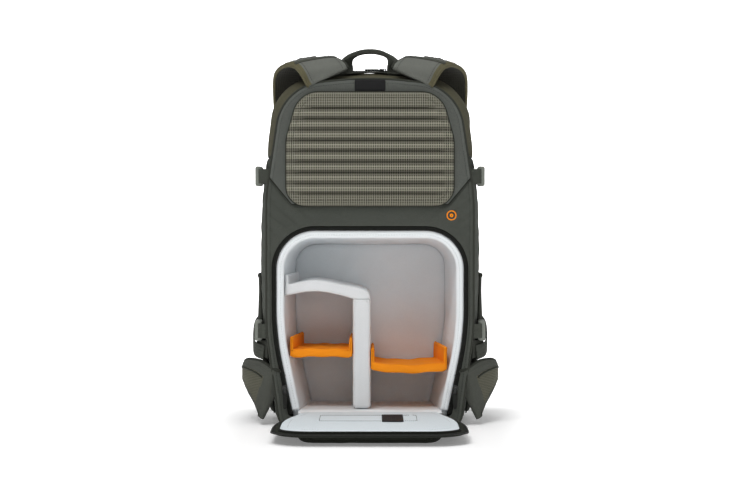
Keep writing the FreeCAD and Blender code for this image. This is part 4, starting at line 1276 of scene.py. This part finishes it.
def strap_pad(name, sign):
    """The padded strap with its bindings, seams, ridge band, long webbing and cross bars."""
    body = f"shoulder_strap_{name}"
    centres, across, through, half = band_frames(turned(STRAP, sign), 9)
    mean = pillow(11.5, 3.0, 18, low=0.8)
    obj = sweep(f"strap_pad_{name}", centres, across, through, half,
                lambda t: mean * [1, 0.75 + 0.25 * min(t * 8, 1)],
                M["strap_top"], body=body, slot="upper_cloth")
    obj.data.materials.append(M["under_mesh"])
    obj.data.materials.append(M["strap_edge"])
    for face in obj.data.polygons:
        middle = np.array(face.center) * 1000
        i = int(np.argmin(((centres - middle) ** 2).sum(1)))
        share = (middle - centres[i]) @ across[i] / half[i]
        below = through[i] @ np.array(face.normal) < -0.2
        face.material_index = 1 if below else (2 if share < -0.8 else 0)
    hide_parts(body)
    sewn = [obj]
    for edge, side in (("outer", -1), ("inner", 1)):
        line = centres + across * half[:, None] * side * 0.985
        sewn.append(tube(f"strap_binding_{edge}_{name}", line, 2.4,
                         M["strap_edge"] if side < 0 else M["binding"],
                         up=through, flat=1.15, body=body, slot="olive_cloth"))
        seam = centres + across * (half[:, None] - 7.5) * side + through * 5.4
        sewn.append(stitches(f"strap_thread_{edge}_{name}", seam, through, M["thread_dark"], body=body,
                             slot="webbing"))
    for piece in sewn:
        bend(piece)
    ribs = web_profile(1.8, 4, 0.22)
    keep = slice(28, 92)
    across_u = np.linspace(-0.93, 0.93, 24)
    ridge = 20
    rise = 5.75 * (1 - np.abs(across_u) ** 3) ** (1 / 3) + 0.2
    strip = centres[ridge] + np.outer(across_u * half[ridge], across[ridge])
    strip = strip + np.outer(rise, through[ridge])
    along = unit(centres[ridge + 1] - centres[ridge])
    sweep(f"strap_ridge_{name}", strip, along, through[ridge], 5.0, web_profile(1.5, 3, 0.35),
          M["dark_web"], body=body, slot="webbing")
    sweep(f"strap_web_{name}", (centres + through * 6.2)[keep], across[keep], through[keep], 11.0, ribs,
          M["webbing"], body=body, slot="webbing")
    for side in (-1, 1):
        line = (centres + through * 7.2 + across * side * 8.8)[keep]
        stitches(f"strap_web_thread_{'a' if side < 0 else 'b'}_{name}", line, through[keep],
                 M["thread_dark"], body=body, slot="webbing")
    for k, at in enumerate((62, 80)):
        c, w, n = centres[at] + through[at] * 7.6, across[at], through[at]
        t = unit(centres[at + 1] - centres[at])
        band = np.array([c + w * s * 12.5 for s in np.linspace(-1, 1, 12)])
        sweep(f"strap_bar_{k}_{name}", band, t, n, 5.5, web_profile(1.4, 2),
              M["dark_web"], body=body, slot="webbing")


def strap_lower(name, sign):
    """The webbing from the bag up to the adjuster, and the turn round the adjuster's bar."""
    body = f"shoulder_strap_{name}"
    rows = [(c, w, n, WEB_W) for c, w, n in STRAP_WEB]
    centres, across, through, half = band_frames(turned(rows, sign), 10)
    obj = sweep(f"strap_lower_web_{name}", centres, across, through, half, web_profile(WEB_T, 4, 0.14),
                M["webbing"], slot="webbing")
    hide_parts(f"strap_webbing_{name}")
    bend(obj)
    bar = adjuster_web(sign)
    sweep(f"adjuster_web_{name}", *bar, web_profile(1.5, 4, 0.12), M["webbing"], body=body,
          slot="webbing")


def shoulder_straps():
    for name, sign in SIDES:
        strap_pad(name, sign)
        strap_lower(name, sign)


def adjuster_web(sign):
    """The webbing that comes down from the pad's end and turns round the adjuster's top bar."""
    x, y, z = sign * 88.0, YB + 211, 190.0
    rows = [(x, y + 1.0, z + 22), (x, y + 2.4, z + 14), (x, y + 3.6, z + 10.5), (x, y + 1.8, z + 6.6),
            (x, y - 1.8, z + 6.4),
            (x, y - 3.6, z + 10.5), (x, y - 2.4, z + 14), (x, y - 1.0, z + 22)]
    path = smooth_path(rows, 4)
    return path, (1, 0, 0), np.cross(tangents(path), (1, 0, 0)), WEB_W / 2


WING_X, WING_Y = -131.0, YB + 4
# x and y from the wing's root, the thickness direction, and the lower and upper edge
WING_ROWS = [(7, 3.0, -0.95, 0.3, 3, 72), (-2, 6, -0.45, 0.9, 8, 77),
             (-15, 24, -0.55, 0.84, 24, 84), (-29, 50, -0.35, 0.94, 40, 83.5),
             (-36, 78, -0.1, 1, 48, 79), (-37, 106, 0.02, 1, 51, 75.5),
             (-33, 140, 0.1, 1, 53, 75)]
WING = [((WING_X + x, WING_Y + y, (low + high) / 2), (0, 0, 1), (hy, -hx, 0), high - low)
        for x, y, hx, hy, low, high in WING_ROWS]
BELT_END_Y = YF + 50
BELT_TAIL = [((-164, WING_Y + 140.3, 65.5), (0, 0, 1), (1, 0, 0)),
             ((-163, YF + 4, 61), (0, 0.15, 1), (1, 0, 0)),
             ((-157, YF + 24, 45), (0.2, 0.5, 0.8), (0.9, 0.3, 0.2)),
             ((-146, YF + 39, 23), (0.35, 0.8, 0.5), (0.7, 0, 0.7)),
             ((-130, YF + 47, 8), (0.25, 0.95, 0.2), (0.3, 0, 1)),
             ((-108, BELT_END_Y, 3.2), (0, 1, 0), (0, 0, 1)),
             ((-58.4, BELT_END_Y, 4.6), (0, 1, 0), (0, 0, 1))]


def belt_wing(name, sign):
    """The padded wing, sewn to the bag at its root, with its bindings and seams."""
    body = f"belt_wing_{name}"
    centres, across, through, half = band_frames(turned(WING, sign), 14)
    out = through * np.sign((through * [sign, 0, 0]).sum(1).mean())
    section = pillow(11.0, 3.0, 18)
    obj = sweep(f"wing_pad_{name}", centres, across, out, half,
                lambda t: section * [1, min(0.8, 0.25 + 2.2 * t)], M["belt"], body=body,
                slot="belt_cloth")
    obj.data.materials.append(M["wing_mesh"])
    for face in obj.data.polygons:
        i = int(np.argmin(((centres - np.array(face.center) * 1000) ** 2).sum(1)))
        r = (np.array(face.center) * 1000 - centres[i]) @ across[i] / half[i]
        outer = np.array(face.normal) @ out[i] > 0.3
        face.material_index = 1 if outer and -0.8 < r < 0.42 and i > 22 else 0
    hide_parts(body)
    sewn = [obj]
    for edge, side in (("top", 1), ("low", -1)):
        line = centres + across * half[:, None] * side * 0.985
        sewn.append(tube(f"wing_binding_{edge}_{name}", line[12:], 2.3, M["binding"], up=out[12:],
                         body=body, slot="webbing"))
        seam = centres + across * (half[:, None] - 6.5) * side + out * 4.4
        sewn.append(stitches(f"wing_thread_{edge}_{name}", seam[16:], out[16:], M["thread"], body=body,
                             slot="webbing"))
    for piece in sewn:
        bend(piece)
    seam = centres + across * (half[:, None] * 0.42) + out * 4.7
    tube(f"wing_seam_{name}", seam[23:], 1.0, M["binding"], up=out[23:], body=body, slot="webbing")


def belt_web(name, sign):
    """The loose belt half, from the wing's end down to the floor."""
    body = f"belt_wing_{name}"
    rows = [(c, w, n, 24.0) for c, w, n in BELT_TAIL]
    centres, across, through, half = band_frames(turned(rows, sign), 9)
    obj = sweep(f"belt_web_{name}", centres, across, through, half, web_profile(1.8, 5, 0.15),
                M["webbing"], body=body, slot="webbing")
    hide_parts(f"belt_webbing_{name}")


def strap_anchor(name, sign):
    """The sewn tab that holds the shoulder strap's lower webbing."""
    anchor = smooth_path([(sign * 133, YB + 6, 99), (sign * 137, YB + 17, 99),
                          (sign * 143, YB + 30, 98.5),
                          (sign * 149, YB + 42, 98)], 6)
    sweep(f"strap_anchor_{name}", anchor, (0, 0, 1), np.cross(tangents(anchor), (0, 0, 1)),
          np.linspace(12.3, 10.0, len(anchor)), web_profile(2.4, 0),
          M["binding"], slot="webbing")


def belt():
    for name, sign in SIDES:
        belt_wing(name, sign)
        belt_web(name, sign)
        strap_anchor(name, sign)


def compression():
    """The four compression straps behind their buckles, and the short anchors that hold the sockets."""
    for level, x, z in (("upper", -145.5, 325.0), ("lower", -146.5, 123.0)):
        seam = -seam_half(z)
        web_x = x - 2.9
        strap = [(web_x, YB + 39, z), (web_x, YB + 75, z), (web_x, YB + 120, z), (web_x, YF - 14, z),
                 (web_x + 3.2, YF - 8.5, z),
                 (seam - 3.4, YF - 4.5, z)]
        anchor = [(seam - 1.2, YB + 1.2, z), (x + 3.6, YB + 7.6, z), (x + 1.2, YB + 10.0, z),
                  (x, YB + 15.5, z)]
        tail = [(web_x + 6.0, YB + 33.0, z), (web_x + 3.6, YB + 30.5, z), (web_x + 0.2, YB + 31.5, z),
                (web_x - 1.7, YB + 36, z),
                (web_x - 2.2, YB + 46, z - 0.5), (web_x - 2.3, YB + 62, z - 1.5),
                (web_x - 2.0, YB + 78, z - 2.5)]
        for kind, rows in (("strap", strap), ("anchor", anchor), ("tail", tail)):
            path = smooth_path(rows, 7)
            for name, sign in SIDES:
                line = path * [-sign, 1, 1]
                sweep(f"compression_{kind}_{level}_{name}", line, (0, 0, 1),
                                  np.cross(tangents(line), (0, 0, 1)),
                                  WEB_W / 2, web_profile(WEB_T - 0.2, 4, 0.12), M["webbing"],
                                  slot="webbing")
    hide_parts("compression_webbing")


HANDLE_Y = YB + 40


def grab_handle():
    """A webbing loop, edge-on at the top, with feet twisted to face the wearer."""
    right = [(34.5, 453.5), (33.6, 461), (32.2, 468.5), (29.8, 476), (25.2, 482.2), (17.2, 486.6),
             (8.4, 488.9), (0, 489.4)]
    path2 = smooth_path(right + both_halves(right[:-1])[len(right) - 1:], 7)
    path = lifted(path2, HANDLE_Y)
    out = lifted(outward_2d(path2), 0.0)
    twist = np.radians(66) * (1 - smoothstep(path2[:, 1], 464, 489))[:, None]
    across = np.array([0.0, 1.0, 0.0]) * np.cos(twist) + out * np.sin(twist) * np.sign(path2[:, :1])
    through = np.cross(tangents(path), across)
    half = np.interp(path2[:, 1], [456, 466, 480, 488], [12.5, 11.4, 9.0, 7.0])
    obj = sweep("handle_loop_web", path, across, through, half, web_profile(5.8, 6, 0.3), M["dark_web"],
                slot="webbing")
    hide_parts("grab_handle")
    bend(obj)
    patch = [(x, HANDLE_Y - 1, 462.6 - abs(x) * 0.085) for x in np.linspace(-49, 49, 30)]
    sweep("handle_base_web", np.array(patch), (0, 1, 0), (0, 0, 1), 7.0, web_profile(1.8, 4, 0.12),
          M["dark_web"],
          slot="webbing")


def top_zip():
    y = YB + 72
    xs = np.linspace(-42, 42, 90)
    z = CROWN_Z + np.polyval(TOP_CURVE, y)
    line = np.array([(x, y, z - 0.004 * abs(x) + 1.1) for x in xs])
    obj = sweep("top_zip_band", line, (0, 1, 0), (0, 0, 1), 8.5, web_profile(1.4, 0), M["tape"],
                slot="zip_tape")
    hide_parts("top_zip_tape")
    stitches("top_zip_teeth", line + [0, 0, 0.9], (0, 0, 1), M["coil"], pitch=1.5, length=1.2, width=3.0,
             lift=0.0, slot="zip_tape")
    for sign in (-1, 1):
        stitches(f"top_zip_thread_{'a' if sign < 0 else 'b'}", line + [0, sign * 7.2, 0.8], (0, 0, 1),
                 M["thread_dark"], slot="zip_tape")
    y = YF + 28.6
    band = np.array([(x, y, 262) for x in np.linspace(-61, 61, 60)])
    obj = sweep("front_zip_band", band, (0, 0, 1), (0, 1, 0), 7.6, web_profile(1.1, 0), M["tape"],
                slot="zip_tape")
    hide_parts("front_zip_tape")


def hard_parts():
    """The moulded and metal parts keep their CAD shape: they take materials by group and, all but the frame
    sheet, a small bevel.
    """
    groups = {
        "plastic": ["buckle_sockets", "belt_buckle_socket", "belt_buckle_plug", "strap_adjuster_left",
                    "strap_adjuster_right"]
        + [f"buckle_plug_{level}_{side}" for level in ("upper", "lower") for side in ("left", "right")],
        "metal": ["rear_zip_slider_left", "rear_zip_slider_right", "top_zip_slider", "front_zip_slider"],
        "rubber": ["rear_zip_pull_left", "rear_zip_pull_right", "top_zip_pull", "front_zip_pull"],
        "sheet_plastic": ["frame_sheet"],
    }
    for mat, names in groups.items():
        for name in names:
            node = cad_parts[name]
            node.data.materials.clear()
            node.data.materials.append(M[mat])
            if name == "frame_sheet":
                continue
            bevel = node.modifiers.new("edge", "BEVEL")
            bevel.width = 0.0004
            bevel.segments = 2
            bevel.limit_method = "ANGLE"
            bevel.angle_limit = math.radians(35)


# ---------------------------------------------------------------- studio
def glow(g, strength):
    g.set("Emission Color", (1, 1, 1, 1))
    g.set("Emission Strength", strength)
    return g.material


def floor_material():
    """A white sweep that glows away from the bag, so that only the bag's own shadow is grey."""
    g = Graph("floor_white", (248, 248, 248), 0.8)
    places = g.split(g.place)
    parts = []
    for k, half, middle in ((0, 0.15, 0.0), (1, 0.225, -0.11)):
        off = g.math("ABSOLUTE", g.math("SUBTRACT", places[k], middle))
        off = g.math("MAXIMUM", g.math("SUBTRACT", off, half), 0.0)
        parts.append(g.math("POWER", off, 2.0))
    gap = g.math("SQRT", g.math("ADD", *parts))
    near = g.ramp(gap, True, from_min=0.0, from_max=0.13, to_min=0.22)
    far = g.ramp(places[1], True, from_min=0.1, from_max=1.6, to_min=FLOOR_GLOW, to_max=BACKDROP_GLOW)
    return glow(g, g.math("MULTIPLY", near, far))


def area_light(name, place, aim, size, power):
    data = bpy.data.lights.new(name, "AREA")
    data.shape = "RECTANGLE"
    data.size, data.size_y = size
    data.energy = power
    light = bpy.data.objects.new(name, data)
    bpy.context.scene.collection.objects.link(light)
    light.location = place
    light.rotation_euler = (Vector(aim) - Vector(place)).to_track_quat("-Z", "Y").to_euler()


def studio():
    floor = make_mesh("floor", [(-1900, -1000, -0.4), (1900, -1000, -0.4), (1900, 7000, -0.4),
                                (-1900, 7000, -0.4)], [(0, 1, 2, 3)],
                      floor_material())
    wall = make_mesh("backdrop", [(-1900, 7000, -10), (1900, 7000, -10), (1900, 7000, 1400),
                                  (-1900, 7000, 1400)], [(0, 1, 2, 3)],
                     glow(Graph("backdrop_white", (250, 250, 250), 0.9), BACKDROP_GLOW))
    world = bpy.data.worlds.new("studio")
    bpy.context.scene.world = world
    world.use_nodes = True
    world.node_tree.nodes["Background"].inputs[0].default_value = (1, 1, 1, 1)
    world.node_tree.nodes["Background"].inputs[1].default_value = WORLD_STRENGTH
    area_light("key", (-0.7, -1.7, 2.5), (0, 0, 0.26), (1.1, 0.9), KEY_POWER)
    area_light("fill", (1.9, -2.4, 1.2), (0, 0, 0.25), (1.6, 1.6), FILL_POWER)
    area_light("top", (0, 0.2, 2.4), (0, 0, 0.2), (1.8, 1.4), TOP_POWER)
    area_light("low", (0.0, -3.2, 0.6), (0, 0, 0.2), (1.4, 0.7), LOW_POWER)
    camera = bpy.data.cameras.new("camera")
    camera.lens = 103.3
    camera.sensor_width = 36.0
    obj = bpy.data.objects.new("camera", camera)
    bpy.context.scene.collection.objects.link(obj)
    obj.location = (0.0065, -2.885, 0.29)
    obj.rotation_euler = (math.radians(90 - 1.25), 0, 0)
    bpy.context.scene.camera = obj
    bpy.context.scene.view_settings.view_transform = "Standard"


FLOOR_GLOW, BACKDROP_GLOW, WORLD_STRENGTH = 0.85, 1.3, 0.24
KEY_POWER, FILL_POWER, TOP_POWER, LOW_POWER = 31.0, 8.0, 22.0, 3.0

back_panels()
back_pad()
top_label()
emblem()
shell()
front_side()
side_pockets()
opening()
compartment()
dividers()
flap()
flap_fold()
shoulder_straps()
belt()
compression()
grab_handle()
top_zip()
hard_parts()
studio()
